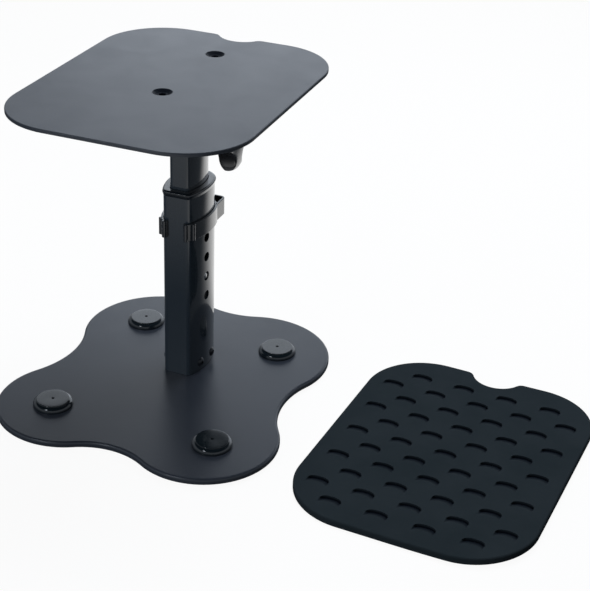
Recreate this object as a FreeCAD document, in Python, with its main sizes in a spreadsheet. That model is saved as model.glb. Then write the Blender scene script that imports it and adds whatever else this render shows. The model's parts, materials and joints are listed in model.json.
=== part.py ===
"""Desktop monitor stand.

A four-lobed steel base carries a D-shaped outer tube. An inner tube slides in it on a bushing and a
glide, and a sprung button in one of a row of holes sets the height. The top plate tilts on a clamped
pivot at the head of the inner tube. A cable clip rides on the outer tube, and the anti-slip pad of
the top plate lies beside the stand.

Millimetres, +Z up, the front faces -Y. The origin is on the table under the widest line of the column.
"""
import FreeCAD
import Part
import math
import os
import Sketcher
from FreeCAD import Vector

SIZES = [
    # Column section: flat front, two side arcs about the widest line, one rear arc
    ("column_width", 39.0, "widest across the side arcs"),
    ("column_front_width", 25.0, "flat front between its sharp corners"),
    ("column_side_radius", 63.6, "side arcs"),
    ("column_rear_step", 1.5, "half width less the rear arc's radius"),
    ("column_corner", 3.5, "front corners of the outer tube"),
    ("inner_corner", 2.5, "front corners of the inner tube"),
    ("inside_corner", 1.2, "front corners of the bores"),
    ("tube_wall", 1.5, "outer tube"),
    ("inner_wall", 2.0, "inner tube"),
    ("bushing_liner", 4.15, "plastic between the two tubes"),
    ("seat_fit", 0.05, "gap of pieces seated in each other"),
    ("slide_gap", 0.3, "gap of pieces that slide on each other"),
    ("shaft_fit", 0.05, "radial gap of threads and turning shafts"),
    # Lengths of the column
    ("outer_tube_length", 183.5, "from the base plate up"),
    ("inner_tube_length", 176.0, "from the glide's step up"),
    ("bushing_depth", 22.0, "liner below the outer tube's rim"),
    ("bushing_rim_height", 5.0, "rim above the outer tube"),
    ("bushing_rim_proud", 1.0, "rim beyond the outer tube"),
    ("bushing_rim_round", 1.2, "upper edge of the rim"),
    ("glide_height", 18.0, "sleeve on the inner tube's foot"),
    ("glide_step", 3.0, "step under the inner tube"),
    # Height holes and snap button
    ("hole_pitch", 20.0, "between height positions"),
    ("hole_count", 4, "height positions"),
    ("hole_set", 1, "steps from the lowest position to the one in use"),
    ("hole_level", 77.5, "lowest position above the base plate"),
    ("hole_radius", 4.5, "in both tubes"),
    ("hole_offset", 4.5, "ahead of the widest line"),
    ("button_level", 30.0, "above the inner tube's foot"),
    ("button_radius", 4.2, "pin"),
    ("button_dome", 2.6, "rounded end of the pin"),
    ("button_flange_radius", 5.6, "stop inside the inner tube"),
    ("button_flange", 1.6, "thickness of the stop"),
    ("button_travel", 3.6, "from pressed to snapped out"),
    ("spring_width", 8.0, "leaf"),
    ("spring_leaf", 0.8, "leaf thickness"),
    ("spring_rise", 30.0, "bend above the button"),
    ("spring_drop", 8.0, "leaf ends below the button"),
    ("spring_bend", 1.7, "half width at the bend"),
    # Base plate and feet
    ("foot_height", 3.0, "rubber under the base plate"),
    ("base_thickness", 5.5, "base plate"),
    ("base_top_round", 2.4, "upper edge"),
    ("base_bottom_round", 0.8, "lower edge"),
    ("front_lobe_x", 67.5, "front lobe centres"),
    ("front_lobe_y", 113.4, "front lobe centres, ahead of the column"),
    ("front_lobe_radius", 67.3, "front lobes"),
    ("rear_lobe_x", 51.0, "rear lobe centres"),
    ("rear_lobe_y", 36.4, "rear lobe centres, behind the column"),
    ("rear_lobe_radius", 74.0, "rear lobes"),
    ("front_hollow", 65.5, "hollow between the front lobes"),
    ("side_hollow", 87.8, "hollows of the sides"),
    ("rear_hollow", 75.0, "hollow between the rear lobes"),
    ("front_foot_x", 79.6, "front feet"),
    ("front_foot_y", 123.6, "front feet, ahead of the column"),
    ("rear_foot_x", 71.3, "rear feet"),
    ("rear_foot_y", 48.4, "rear feet, behind the column"),
    ("foot_radius", 16.0, "rubber foot"),
    ("foot_chamfer", 1.0, "lower edge of the rubber foot"),
    ("foot_stem_radius", 5.0, "stem through the base plate"),
    ("foot_stem_grip", 3.5, "stem inside the cap"),
    ("cap_height", 6.0, "cap over the stem"),
    ("cap_radius", 15.5, "disc on top of the cap"),
    ("cap_round", 0.5, "upper edge of the disc"),
    ("cap_step", 1.3, "disc above the skirt"),
    ("cap_skirt", 2.8, "skirt proud of the disc"),
    ("cap_skirt_round", 2.0, "upper edge of the skirt"),
    ("cap_pip_radius", 1.1, "gate mark in the cap"),
    ("cap_pip_depth", 0.5, "gate mark in the cap"),
    # Foot of the column
    ("socket_height", 32.0, "block inside the outer tube"),
    ("socket_screw_front", 14.0, "screw ahead of the widest line"),
    ("socket_screw_rear", 12.0, "screw behind the widest line"),
    ("socket_screw_depth", 18.0, "thread inside the block"),
    ("column_screw_level", 9.0, "above the base plate"),
    ("column_screw_front", 14.0, "front pair, along the side arc"),
    ("column_screw_rear", 8.0, "rear pair, along the side arc"),
    ("column_screw_radius", 2.5, "thread"),
    ("column_screw_length", 9.0, "under the head"),
    ("column_head_radius", 4.5, "domed head"),
    ("column_head_sphere", 5.5, "sphere of the domed head"),
    ("column_key", 1.75, "hexagon socket, corner radius"),
    ("column_key_depth", 1.4, "hexagon socket below the top of the dome"),
    # Large countersunk screws of the plate and of the base
    ("bolt_radius", 4.0, "M8 thread"),
    ("bolt_head_radius", 8.4, "countersunk head"),
    ("bolt_head_rim", 0.3, "cylindrical edge of the head"),
    ("bolt_key", 3.2, "hexagon socket, corner radius"),
    ("bolt_key_depth", 2.4, "hexagon socket"),
    ("bolt_hole_fit", 0.25, "radial gap in clearance holes"),
    ("sink_fit", 0.1, "radial gap round countersunk heads"),
    # Tilting head
    ("pivot_drop", 14.0, "pivot below the inner tube's end"),
    ("plug_depth", 40.0, "plug inside the inner tube"),
    ("plug_rim", 3.0, "plug above the inner tube"),
    ("washer_seat", 1.5, "saddle washer beside the inner tube"),
    ("washer_radius", 10.0, "saddle washer"),
    ("washer_bed", 2.5, "stock that the saddle is cut from"),
    ("cheek_wall", 3.0, "sides of the bracket"),
    ("cheek_end", 11.0, "rounded lower end of the sides"),
    ("cheek_spread", 40.0, "half length of the sides at the top"),
    ("pivot_to_plate", 59.0, "pivot to the underside of the plate"),
    ("web_wall", 3.0, "top of the bracket"),
    ("web_half_length", 68.0, "top of the bracket, along Y"),
    ("web_half_width", 22.0, "top of the bracket, along X"),
    ("web_corner", 10.0, "corners of the bracket's top"),
    ("plate_screw_y", 53.7, "plate screws ahead of and behind the column"),
    ("plate_screw_length", 16.0, "plate screws, with their heads"),
    ("nut_corner", 7.5, "hexagon, corner radius"),
    ("nut_height", 6.5, "weld nuts"),
    ("pivot_head", 5.3, "hexagon head of the pivot bolt"),
    # Clamp knob
    ("knob_radius", 22.4, "over the lobes"),
    ("knob_half", 10.0, "half thickness at the middle"),
    ("knob_stand", 21.0, "middle of the knob from the bracket's side"),
    ("knob_lobes", 3, "lobes"),
    ("knob_scallop", 16.0, "radius of the hollows between lobes"),
    ("knob_scallop_out", 7.0, "hollows' centres beyond the lobes"),
    ("knob_hub_radius", 9.0, "hub"),
    ("insert_radius", 6.0, "metal insert of the knob"),
    ("insert_length", 20.0, "metal insert of the knob"),
    ("pivot_grip", 18.0, "bolt inside the insert"),
    # Top plate and pad
    ("plate_width", 216.0, "plate and pad, along X"),
    ("plate_depth", 278.0, "plate and pad, along Y"),
    ("plate_corner", 60.0, "plate and pad corners"),
    ("plate_forward", 32.0, "plate's middle ahead of the column"),
    ("plate_thickness", 3.0, "plate"),
    ("plate_round", 0.8, "upper edge of the plate"),
    ("notch_width", 40.0, "cable notch at the rear edge"),
    ("notch_depth", 12.0, "cable notch at the rear edge"),
    ("notch_shoulder", 8.0, "rounded ends of the notches"),
    ("pad_notch_width", 46.0, "cable notch of the pad"),
    ("pad_notch_depth", 17.0, "cable notch of the pad"),
    ("pad_thickness", 6.0, "pad"),
    ("pad_round", 1.8, "upper edge of the pad"),
    ("pad_x", 272.0, "where the pad lies"),
    ("pad_y", -44.0, "where the pad lies"),
    ("pad_turn", -3.5, "how the pad lies, degrees"),
    ("slot_pitch_x", 42.0, "crescent slots in a row"),
    ("slot_pitch_y", 22.0, "rows of slots"),
    ("slot_half_length", 7.5, "to the middle of the rounded ends"),
    ("slot_radius", 14.0, "middle line of a slot"),
    ("slot_width", 4.4, "slot"),
    ("slot_back", 1.0, "middle line ahead of its row's line"),
    ("slot_depth", 2.5, "slot"),
    # Cable clip
    ("clip_drop", 40.0, "lower edge below the outer tube's rim"),
    ("clip_height", 16.5, "band and hooks"),
    ("clip_wall", 2.2, "band"),
    ("clip_mouth", 16.4, "open front between the lips"),
    ("front_rib", 2.5, "radius of the finger ribs on the lips"),
    ("front_rib_x", 10.8, "finger ribs on the lips"),
    ("front_rib_y", 31.3, "finger ribs on the lips, ahead of the widest line"),
    ("side_rib", 2.0, "radius of the finger ribs beside the corners"),
    ("side_rib_x", 16.0, "finger ribs beside the corners"),
    ("side_rib_y", 26.5, "finger ribs beside the corners, ahead of the widest line"),
    ("hook_half_width", 18.4, "outside of the hooks"),
    ("hook_start", 20.0, "hooks leave the band"),
    ("hook_reach", 40.0, "back of the hooks"),
    ("hook_wall", 2.0, "hooks"),
    ("hook_gap", 10.0, "between the hooks' tips"),
    ("hook_round", 4.5, "outer corners of the hooks"),
]


class Dim:
    """A size with both its number and the sheet expression that it comes from."""

    def __init__(self, value, text):
        self.value = float(value)
        self.text = text

    def __add__(self, other):
        other = as_dim(other)
        return Dim(self.value + other.value, "(%s + %s)" % (self.text, other.text))

    def __sub__(self, other):
        other = as_dim(other)
        return Dim(self.value - other.value, "(%s - %s)" % (self.text, other.text))

    def __mul__(self, other):
        other = as_dim(other)
        return Dim(self.value * other.value, "(%s * %s)" % (self.text, other.text))

    def __truediv__(self, other):
        other = as_dim(other)
        return Dim(self.value / other.value, "(%s / %s)" % (self.text, other.text))

    def __neg__(self):
        return Dim(-self.value, "(0 - %s)" % self.text)


def as_dim(size):
    """A plain number as a Dim."""
    return size if isinstance(size, Dim) else Dim(size, "%.6f" % size)


def root(amount):
    """Square root of a Dim."""
    return Dim(math.sqrt(amount.value), "sqrt(%s)" % amount.text)


def at_least(amount, floor):
    """A Dim that doesn't fall below another one."""
    return Dim(max(amount.value, floor.value), "max(%s; %s)" % (amount.text, floor.text))


def at_most(amount, ceiling):
    """A Dim that doesn't rise above another one."""
    return Dim(min(amount.value, ceiling.value), "min(%s; %s)" % (amount.text, ceiling.text))


doc = FreeCAD.newDocument("monitor_stand")
sheet = doc.addObject("Spreadsheet::Sheet", "Sizes")
size = {}
for row, (alias, amount, meaning) in enumerate(SIZES, start=1):
    sheet.set("A%d" % row, meaning)
    sheet.set("B%d" % row, str(amount))
    sheet.setAlias("B%d" % row, alias)
    size[alias] = Dim(amount, "Sizes." + alias)
doc.recompute()

ZERO = as_dim(0.0)


# Sketch helpers

def tie(sketch, dimension, kind, *places):
    """Add a constraint whose value follows the sheet."""
    index = sketch.addConstraint(Sketcher.Constraint(kind, *places, dimension.value))
    sketch.setExpression("Constraints[%d]" % index, dimension.text)


def pin(sketch, geometry, point, across, along):
    """Hold a point at a place from the sketch's origin; None puts it on that axis."""
    for kind, axis, place in (("DistanceX", -2, across), ("DistanceY", -1, along)):
        if place is None:
            sketch.addConstraint(Sketcher.Constraint("PointOnObject", geometry, point, axis))
        elif place.value < 0:
            tie(sketch, -place, kind, geometry, point, -1, 1)
        else:
            tie(sketch, place, kind, -1, 1, geometry, point)


def number(place):
    """The number of a place, 0 for None."""
    return 0.0 if place is None else place.value


def sketch_in(body, name, role="XY_Plane", lift=None):
    """A sketch on one of the body's own planes, moved along the plane's normal by lift."""
    sketch = body.newObject("Sketcher::SketchObject", name)
    plane = [feature for feature in body.Origin.OriginFeatures if feature.Role == role][0]
    sketch.AttachmentSupport = [(plane, "")]
    sketch.MapMode = "FlatFace"
    if lift is not None:
        sketch.setExpression("AttachmentOffset.Base.z", lift.text)
    return sketch


def polygon(sketch, corners):
    """A closed outline through corners, each a pair of places."""
    first = sketch.GeometryCount
    spots = [Vector(number(across), number(along), 0) for across, along in corners]
    count = len(spots)
    for i in range(count):
        sketch.addGeometry(Part.LineSegment(spots[i], spots[(i + 1) % count]))
    for i in range(count):
        sketch.addConstraint(Sketcher.Constraint("Coincident", first + i, 2, first + (i + 1) % count, 1))
    for i in range(count):
        pin(sketch, first + i, 1, *corners[i])


def circle(sketch, across, along, radius):
    """A circle about a place."""
    centre = Vector(number(across), number(along), 0)
    geometry = sketch.addGeometry(Part.Circle(centre, Vector(0, 0, 1), radius.value))
    pin(sketch, geometry, 3, across, along)
    tie(sketch, radius, "Radius", geometry)


def arc(sketch, centre, radius, start, end):
    """An arc that turns anticlockwise from start to end."""
    from_angle = math.atan2(start.y - centre.y, start.x - centre.x)
    to_angle = math.atan2(end.y - centre.y, end.x - centre.x)
    if to_angle <= from_angle:
        to_angle += 2 * math.pi
    round_line = Part.Circle(centre, Vector(0, 0, 1), radius)
    return sketch.addGeometry(Part.ArcOfCircle(round_line, from_angle, to_angle))


def tangent(sketch, first, first_point, second, second_point):
    """Join two ends smoothly."""
    sketch.addConstraint(Sketcher.Constraint("Tangent", first, first_point, second, second_point))


def column_section(sketch, inset, corner):
    """The column's outline, moved inwards by inset, with rounded front corners.

    The side arcs are centred on the X axis, so the widest line is y = 0. The rear arc is centred on
    the Y axis and meets both side arcs smoothly. The front line lies where the side arcs of the
    outer tube are column_front_width apart.
    """
    half = size["column_width"] / 2
    side = size["column_side_radius"]
    shoulder = half - size["column_front_width"] / 2
    front = root(side * shoulder * 2 - shoulder * shoulder) - inset
    side_radius = side - inset
    rear_radius = half - size["column_rear_step"] - inset
    side_centre = side - half

    offset = side_centre.value
    rear_span = side.value - half.value + size["column_rear_step"].value
    rear_y = math.sqrt(rear_span ** 2 - offset ** 2)
    reach = side_radius.value
    corner_y = corner.value - front.value
    corner_x = math.sqrt((reach - corner.value) ** 2 - corner_y ** 2) - offset
    lean = Vector(corner_x + offset, corner_y, 0).normalize()
    front_join = Vector(-offset, 0, 0) + lean * reach
    swing = Vector(offset, rear_y, 0).normalize()
    rear_join = Vector(-offset, 0, 0) + swing * reach

    def left(place):
        return Vector(-place.x, place.y, 0)

    line_end = Vector(corner_x, -front.value, 0)
    corner_spot = Vector(corner_x, corner_y, 0)
    front_line = sketch.addGeometry(Part.LineSegment(left(line_end), line_end))
    corner_right = arc(sketch, corner_spot, corner.value, line_end, front_join)
    side_right = arc(sketch, Vector(-offset, 0, 0), reach, front_join, rear_join)
    rear = arc(sketch, Vector(0, rear_y, 0), rear_radius.value, rear_join, left(rear_join))
    side_left = arc(sketch, Vector(offset, 0, 0), reach, left(rear_join), left(front_join))
    corner_left = arc(sketch, left(corner_spot), corner.value, left(front_join), left(line_end))

    chain = [front_line, corner_right, side_right, rear, side_left, corner_left]
    for i, geometry in enumerate(chain):
        tangent(sketch, geometry, 2, chain[(i + 1) % 6], 1)
    for geometry, radius in ((corner_right, corner), (corner_left, corner), (side_right, side_radius),
                             (side_left, side_radius), (rear, rear_radius)):
        tie(sketch, radius, "Radius", geometry)
    pin(sketch, side_right, 3, -side_centre, None)
    pin(sketch, side_left, 3, side_centre, None)
    sketch.addConstraint(Sketcher.Constraint("Horizontal", front_line))
    tie(sketch, front, "DistanceY", front_line, 1, -1, 1)


def rounded_box(sketch, width, depth, corner):
    """A rectangle about the origin with rounded corners."""
    half_x = width / 2 - corner
    half_y = depth / 2 - corner
    turn = corner.value
    centres = [(half_x, half_y), (-half_x, half_y), (-half_x, -half_y), (half_x, -half_y)]
    ways = [Vector(1, 0, 0), Vector(0, 1, 0), Vector(-1, 0, 0), Vector(0, -1, 0)]
    spots = [Vector(across.value, along.value, 0) for across, along in centres]
    arcs = []
    for i in range(4):
        start = spots[i] + ways[i] * turn
        end = spots[i] + ways[(i + 1) % 4] * turn
        arcs.append(arc(sketch, spots[i], turn, start, end))
    for i in range(4):
        j = (i + 1) % 4
        line = sketch.addGeometry(Part.LineSegment(spots[i] + ways[j] * turn, spots[j] + ways[j] * turn))
        tangent(sketch, arcs[i], 2, line, 1)
        tangent(sketch, line, 2, arcs[j], 1)
    for i in range(4):
        pin(sketch, arcs[i], 3, *centres[i])
        tie(sketch, corner, "Radius", arcs[i])


# Feature helpers

def new_body(label):
    """An empty body."""
    body = doc.addObject("PartDesign::Body", label)
    body.Label = label
    return body


def pad(body, name, sketch, length, reverse=False):
    """Extrude a sketch along its normal."""
    feature = body.newObject("PartDesign::Pad", name)
    feature.Profile = sketch
    feature.setExpression("Length", length.text)
    feature.Reversed = reverse
    body.Tip = feature
    return feature


def pocket(body, name, sketch, length=None, reverse=False):
    """Cut a sketch against its normal, right through where no length is given."""
    doc.recompute()
    before = body.Shape.Volume
    feature = body.newObject("PartDesign::Pocket", name)
    feature.Profile = sketch
    feature.Reversed = reverse
    if length is None:
        feature.Type = "ThroughAll"
    else:
        feature.setExpression("Length", length.text)
    body.Tip = feature
    doc.recompute()
    if body.Shape.Volume > before - 1e-6:
        raise RuntimeError("%s of %s cuts nothing" % (name, body.Label))
    return feature


def revolve(body, name, sketch, axis="V_Axis"):
    """Turn a sketch a full circle about one of its axes."""
    feature = body.newObject("PartDesign::Revolution", name)
    feature.Profile = sketch
    feature.ReferenceAxis = (sketch, [axis])
    feature.Angle = 360
    body.Tip = feature
    return feature


def ease(body, name, amount, wanted, kind="PartDesign::Fillet"):
    """Round or chamfer the edges of a body that wanted(edge) picks."""
    doc.recompute()
    base = body.Tip
    edges = ["Edge%d" % i for i, edge in enumerate(base.Shape.Edges, start=1) if wanted(edge)]
    if not edges:
        raise RuntimeError("%s of %s finds no edge" % (name, body.Label))
    feature = body.newObject(kind, name)
    feature.Base = (base, edges)
    feature.setExpression("Radius" if kind.endswith("Fillet") else "Size", amount.text)
    body.Tip = feature
    return feature


def pattern(body, name, feature, direction, step, copies, rows=None):
    """Repeat a feature along a sketch axis, and in rows along a second one (axis, step, copies)."""
    doc.recompute()
    row = body.newObject("PartDesign::LinearPattern", name)
    row.Originals = [feature]
    row.Direction = direction
    row.setExpression("Length", (step * (copies - 1)).text)
    row.setExpression("Occurrences", copies.text)
    if rows is not None:
        row.Direction2 = rows[0]
        row.setExpression("Length2", (rows[1] * (rows[2] - 1)).text)
        row.setExpression("Occurrences2", rows[2].text)
    body.Tip = row
    return row


def place(thing, across=None, along=None, up=None):
    """Put a piece at a place that follows the sheet."""
    for letter, spot in (("x", across), ("y", along), ("z", up)):
        if spot is not None:
            thing.setExpression("Placement.Base." + letter, spot.text)


def aim(thing, spot, yaw, pitch):
    """Put a piece at spot with its own Z axis pitched towards X and then turned about Z."""
    across, along, up = spot
    where = "create(<<vector>>; %s; %s; %s)" % (across.text, along.text, up.text)
    turn = "create(<<rotation>>; %s; %s; 0)" % (yaw.text, pitch.text)
    thing.setExpression("Placement", "create(<<placement>>; %s; %s)" % (where, turn))


def level_edge(edge, height):
    """True for an edge that lies flat at a height of the body's own frame."""
    return all(abs(point.z - height) < 1e-4 for point in edge.discretize(5))


def outer_rim(body, height):
    """A test for the edges around the outside of the body's flat face at a height of its own frame."""
    doc.recompute()
    flat = [face for face in body.Tip.Shape.Faces
            if all(abs(vertex.Z - height.value) < 1e-4 for vertex in face.Vertexes)]
    around = [edge.CenterOfMass for face in flat for edge in face.OuterWire.Edges]
    return lambda edge: any((edge.CenterOfMass - middle).Length < 1e-4 for middle in around)


def primitive(kind, label, **sizes):
    """A Part primitive whose properties follow the sheet."""
    thing = doc.addObject(kind, label)
    for name, amount in sizes.items():
        if isinstance(amount, Dim):
            thing.setExpression(name, amount.text)
        else:
            setattr(thing, name, amount)
    return thing


def cut(label, base, tool):
    """Base without tool."""
    thing = doc.addObject("Part::Cut", label)
    thing.Base = base
    thing.Tool = tool
    thing.Label = label
    return thing


def fuse(label, things):
    """Several shapes as one solid."""
    thing = doc.addObject("Part::MultiFuse", label)
    thing.Shapes = things
    thing.Refine = True
    thing.Label = label
    return thing


def group(label, things):
    """Several like solids as one named piece."""
    thing = doc.addObject("Part::Compound", label)
    thing.Links = things
    thing.Label = label
    return thing


# Levels and insets that several pieces share
base_bottom = size["foot_height"]
base_top = base_bottom + size["base_thickness"]
rim_level = base_top + size["outer_tube_length"]
button_z = base_top + size["hole_level"] + size["hole_pitch"] * size["hole_set"]
inner_foot = button_z - size["button_level"]
inner_top = inner_foot + size["inner_tube_length"]
pivot_z = inner_top - size["pivot_drop"]
plate_bottom = pivot_z + size["pivot_to_plate"]
plate_top = plate_bottom + size["plate_thickness"]

bore_inset = size["tube_wall"]
seat_inset = bore_inset + size["seat_fit"]
liner_inset = seat_inset + size["bushing_liner"]
inner_inset = liner_inset + size["slide_gap"]
inner_bore_inset = inner_inset + size["inner_wall"]
glide_inset = bore_inset + size["slide_gap"]
column_half = size["column_width"] / 2
inner_half = column_half - inner_inset
cheek_inside = inner_half + size["washer_seat"] + size["seat_fit"]
cheek_outside = cheek_inside + size["cheek_wall"]
nodes = []


# Base plate: four lobes joined by hollows, with a rounded upper edge

def lobed_outline(sketch):
    """Four convex arcs about fixed centres, each joined to the next by a concave arc."""
    front_x, front_y = size["front_lobe_x"], -size["front_lobe_y"]
    rear_x, rear_y = size["rear_lobe_x"], size["rear_lobe_y"]
    lobes = [(front_x, front_y, size["front_lobe_radius"]), (rear_x, rear_y, size["rear_lobe_radius"]),
             (-rear_x, rear_y, size["rear_lobe_radius"]), (-front_x, front_y, size["front_lobe_radius"])]
    hollows = [size["side_hollow"], size["rear_hollow"], size["side_hollow"], size["front_hollow"]]
    middles = [Vector(across.value, along.value, 0) for across, along, radius in lobes]
    joins = []
    for i, hollow in enumerate(hollows):
        j = (i + 1) % 4
        first = lobes[i][2].value + hollow.value
        second = lobes[j][2].value + hollow.value
        gap = (middles[j] - middles[i]).Length
        along = (first ** 2 - second ** 2 + gap ** 2) / (2 * gap)
        way = (middles[j] - middles[i]).normalize()
        out = Vector(way.y, -way.x, 0)
        centre = middles[i] + way * along + out * math.sqrt(first ** 2 - along ** 2)
        leave = middles[i] + (centre - middles[i]).normalize() * lobes[i][2].value
        meet = middles[j] + (centre - middles[j]).normalize() * lobes[j][2].value
        joins.append((centre, leave, meet))
    lobe_arcs = []
    for i in range(4):
        meet = joins[i - 1][2]
        leave = joins[i][1]
        lobe_arcs.append(arc(sketch, middles[i], lobes[i][2].value, meet, leave))
    for i, hollow in enumerate(hollows):
        centre, leave, meet = joins[i]
        hollow_arc = arc(sketch, centre, hollow.value, meet, leave)
        tangent(sketch, lobe_arcs[i], 2, hollow_arc, 2)
        tangent(sketch, hollow_arc, 1, lobe_arcs[(i + 1) % 4], 1)
        tie(sketch, hollow, "Radius", hollow_arc)
    for i, (across, along, radius) in enumerate(lobes):
        pin(sketch, lobe_arcs[i], 3, across, along)
        tie(sketch, radius, "Radius", lobe_arcs[i])


front_foot = (size["front_foot_x"], -size["front_foot_y"])
rear_foot = (size["rear_foot_x"], size["rear_foot_y"])
FEET = [("front_left", -front_foot[0], front_foot[1]), ("front_right", front_foot[0], front_foot[1]),
        ("rear_left", -rear_foot[0], rear_foot[1]), ("rear_right", rear_foot[0], rear_foot[1])]
bolt_hole = size["bolt_radius"] + size["bolt_hole_fit"]
head_sink = size["bolt_head_radius"] - size["bolt_radius"]
sink_radius = size["bolt_head_radius"] + size["bolt_head_rim"] + size["sink_fit"]

base_plate = new_body("base_plate")
outline = sketch_in(base_plate, "base_outline")
lobed_outline(outline)
pad(base_plate, "base_blank", outline, size["base_thickness"])
doc.recompute()
ease(base_plate, "base_upper_edge", size["base_top_round"],
     lambda edge: level_edge(edge, size["base_thickness"].value))
ease(base_plate, "base_lower_edge", size["base_bottom_round"], lambda edge: level_edge(edge, 0.0))
drill = sketch_in(base_plate, "base_drilling", lift=size["base_thickness"])
for name, across, along in FEET:
    circle(drill, across, along, size["foot_stem_radius"] + size["bolt_hole_fit"])
circle(drill, None, -size["socket_screw_front"], bolt_hole)
circle(drill, None, size["socket_screw_rear"], bolt_hole)
pocket(base_plate, "base_holes", drill)
ease(base_plate, "base_sinks", sink_radius - bolt_hole,
     lambda edge: (level_edge(edge, 0.0) and abs(edge.BoundBox.Center.x) < 1e-3
                   and abs(edge.BoundBox.XLength - bolt_hole.value * 2) < 1e-3),
     kind="PartDesign::Chamfer")
place(base_plate, up=base_bottom)
nodes.append(base_plate)


# Rubber feet with stems through the base plate, and the caps that hold the stems

for name, across, along in FEET:
    foot = new_body("rubber_foot_" + name)
    lathe = sketch_in(foot, "foot_section_" + name, role="XZ_Plane")
    stem_top = base_top + size["foot_stem_grip"]
    polygon(lathe, [(None, None), (size["foot_radius"] - size["foot_chamfer"], None),
                    (size["foot_radius"], size["foot_chamfer"]), (size["foot_radius"], base_bottom),
                    (size["foot_stem_radius"], base_bottom), (size["foot_stem_radius"], stem_top),
                    (None, stem_top)])
    revolve(foot, "foot_turned_" + name, lathe)
    place(foot, across, along)
    nodes.append(foot)

for name, across, along in FEET:
    cap = new_body("foot_cap_" + name)
    lathe = sketch_in(cap, "cap_section_" + name, role="XZ_Plane")
    bore = size["foot_stem_radius"] + size["seat_fit"]
    bore_top = size["foot_stem_grip"] + size["seat_fit"]
    pip_floor = size["cap_height"] - size["cap_pip_depth"]
    skirt = size["cap_radius"] + size["cap_skirt"]
    skirt_top = size["cap_height"] - size["cap_step"]
    polygon(lathe, [(bore, None), (skirt, None), (skirt, skirt_top), (size["cap_radius"], skirt_top),
                    (size["cap_radius"], size["cap_height"]), (size["cap_pip_radius"], size["cap_height"]),
                    (size["cap_pip_radius"], pip_floor), (None, pip_floor), (None, bore_top),
                    (bore, bore_top)])
    revolve(cap, "cap_turned_" + name, lathe)
    ease(cap, "cap_edge_" + name, size["cap_round"],
         lambda edge: (level_edge(edge, size["cap_height"].value)
                       and edge.BoundBox.XLength > size["cap_radius"].value))
    ease(cap, "cap_skirt_edge_" + name, at_most(size["cap_skirt_round"], size["cap_skirt"] * 0.9),
         lambda edge: (level_edge(edge, skirt_top.value)
                       and edge.BoundBox.XLength > (size["cap_radius"] + skirt).value))
    place(cap, across, along, base_top)
    nodes.append(cap)


# Fasteners made from primitives

def countersunk_screw(label, length):
    """A countersunk screw with a hexagon socket, head up, its top face at the origin."""
    rim = primitive("Part::Cylinder", label + "_rim", Radius=size["bolt_head_radius"],
                    Height=size["bolt_head_rim"])
    place(rim, up=-size["bolt_head_rim"])
    cone = primitive("Part::Cone", label + "_cone", Radius1=size["bolt_radius"],
                     Radius2=size["bolt_head_radius"], Height=head_sink)
    place(cone, up=-size["bolt_head_rim"] - head_sink)
    shank = primitive("Part::Cylinder", label + "_shank", Radius=size["bolt_radius"],
                      Height=length - size["bolt_head_rim"] - head_sink)
    place(shank, up=-length)
    key = primitive("Part::Prism", label + "_key", Polygon=6, Circumradius=size["bolt_key"],
                    Height=size["bolt_key_depth"])
    place(key, up=-size["bolt_key_depth"])
    return cut(label, fuse(label + "_blank", [rim, cone, shank]), key)


socket_screws = []
for name, along in (("front", -size["socket_screw_front"]), ("rear", size["socket_screw_rear"])):
    screw = countersunk_screw("socket_screw_" + name, size["base_thickness"] + size["socket_screw_depth"])
    aim(screw, (ZERO, along, base_bottom), ZERO, as_dim(180.0))
    socket_screws.append(screw)
nodes.append(group("socket_screws", socket_screws))


def side_spots():
    """Name, yaw and surface place of the four screws at the column's foot, two on each side arc."""
    spots = []
    side = size["column_side_radius"]
    for row, along in (("front", -size["column_screw_front"]), ("rear", size["column_screw_rear"])):
        across = root(side * side - along * along) - side + column_half
        lean = Dim(math.degrees(math.asin(along.value / side.value)),
                   "(asin(%s / %s) / 1 deg)" % (along.text, side.text))
        up = base_top + size["column_screw_level"]
        spots.append((row + "_right", lean, (across, along, up)))
        spots.append((row + "_left", as_dim(180.0) - lean, (-across, along, up)))
    return spots


def column_drill(label, yaw, spot, gap):
    """A drill of a foot screw's thread, wider and deeper by gap, that starts outside the tube."""
    depth = size["column_screw_length"] + gap
    drill = primitive("Part::Cylinder", label + "_bit", Radius=size["column_screw_radius"] + gap,
                      Height=depth + size["column_head_sphere"])
    place(drill, up=-depth)
    holder = group(label, [drill])
    aim(holder, spot, yaw, as_dim(90.0))
    return holder


column_screws = []
tube_drills = []
socket_drills = []
for name, yaw, spot in side_spots():
    head_cut = Dim(0.0, "(acos(Sizes.column_head_radius / Sizes.column_head_sphere) / 1 deg)")
    sink = root(size["column_head_sphere"] * size["column_head_sphere"]
                - size["column_head_radius"] * size["column_head_radius"])
    dome = primitive("Part::Sphere", "column_screw_dome_" + name, Radius=size["column_head_sphere"],
                     Angle1=head_cut, Angle2=90)
    place(dome, up=-sink)
    shank = primitive("Part::Cylinder", "column_screw_shank_" + name, Radius=size["column_screw_radius"],
                      Height=size["column_screw_length"])
    place(shank, up=-size["column_screw_length"])
    key = primitive("Part::Prism", "column_screw_key_" + name, Polygon=6, Circumradius=size["column_key"],
                    Height=size["column_head_sphere"])
    place(key, up=size["column_head_sphere"] - sink - size["column_key_depth"])
    blank = fuse("column_screw_blank_" + name, [dome, shank])
    screw = cut("column_screw_" + name, blank, key)
    aim(screw, spot, yaw, as_dim(90.0))
    column_screws.append(screw)
    tube_drills.append(column_drill("tube_drill_" + name, yaw, spot, size["bolt_hole_fit"]))
    socket_drills.append(column_drill("socket_drill_" + name, yaw, spot, size["shaft_fit"]))
nodes.append(group("column_screws", column_screws))


# Block inside the column's foot, screwed down through the base plate

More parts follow.
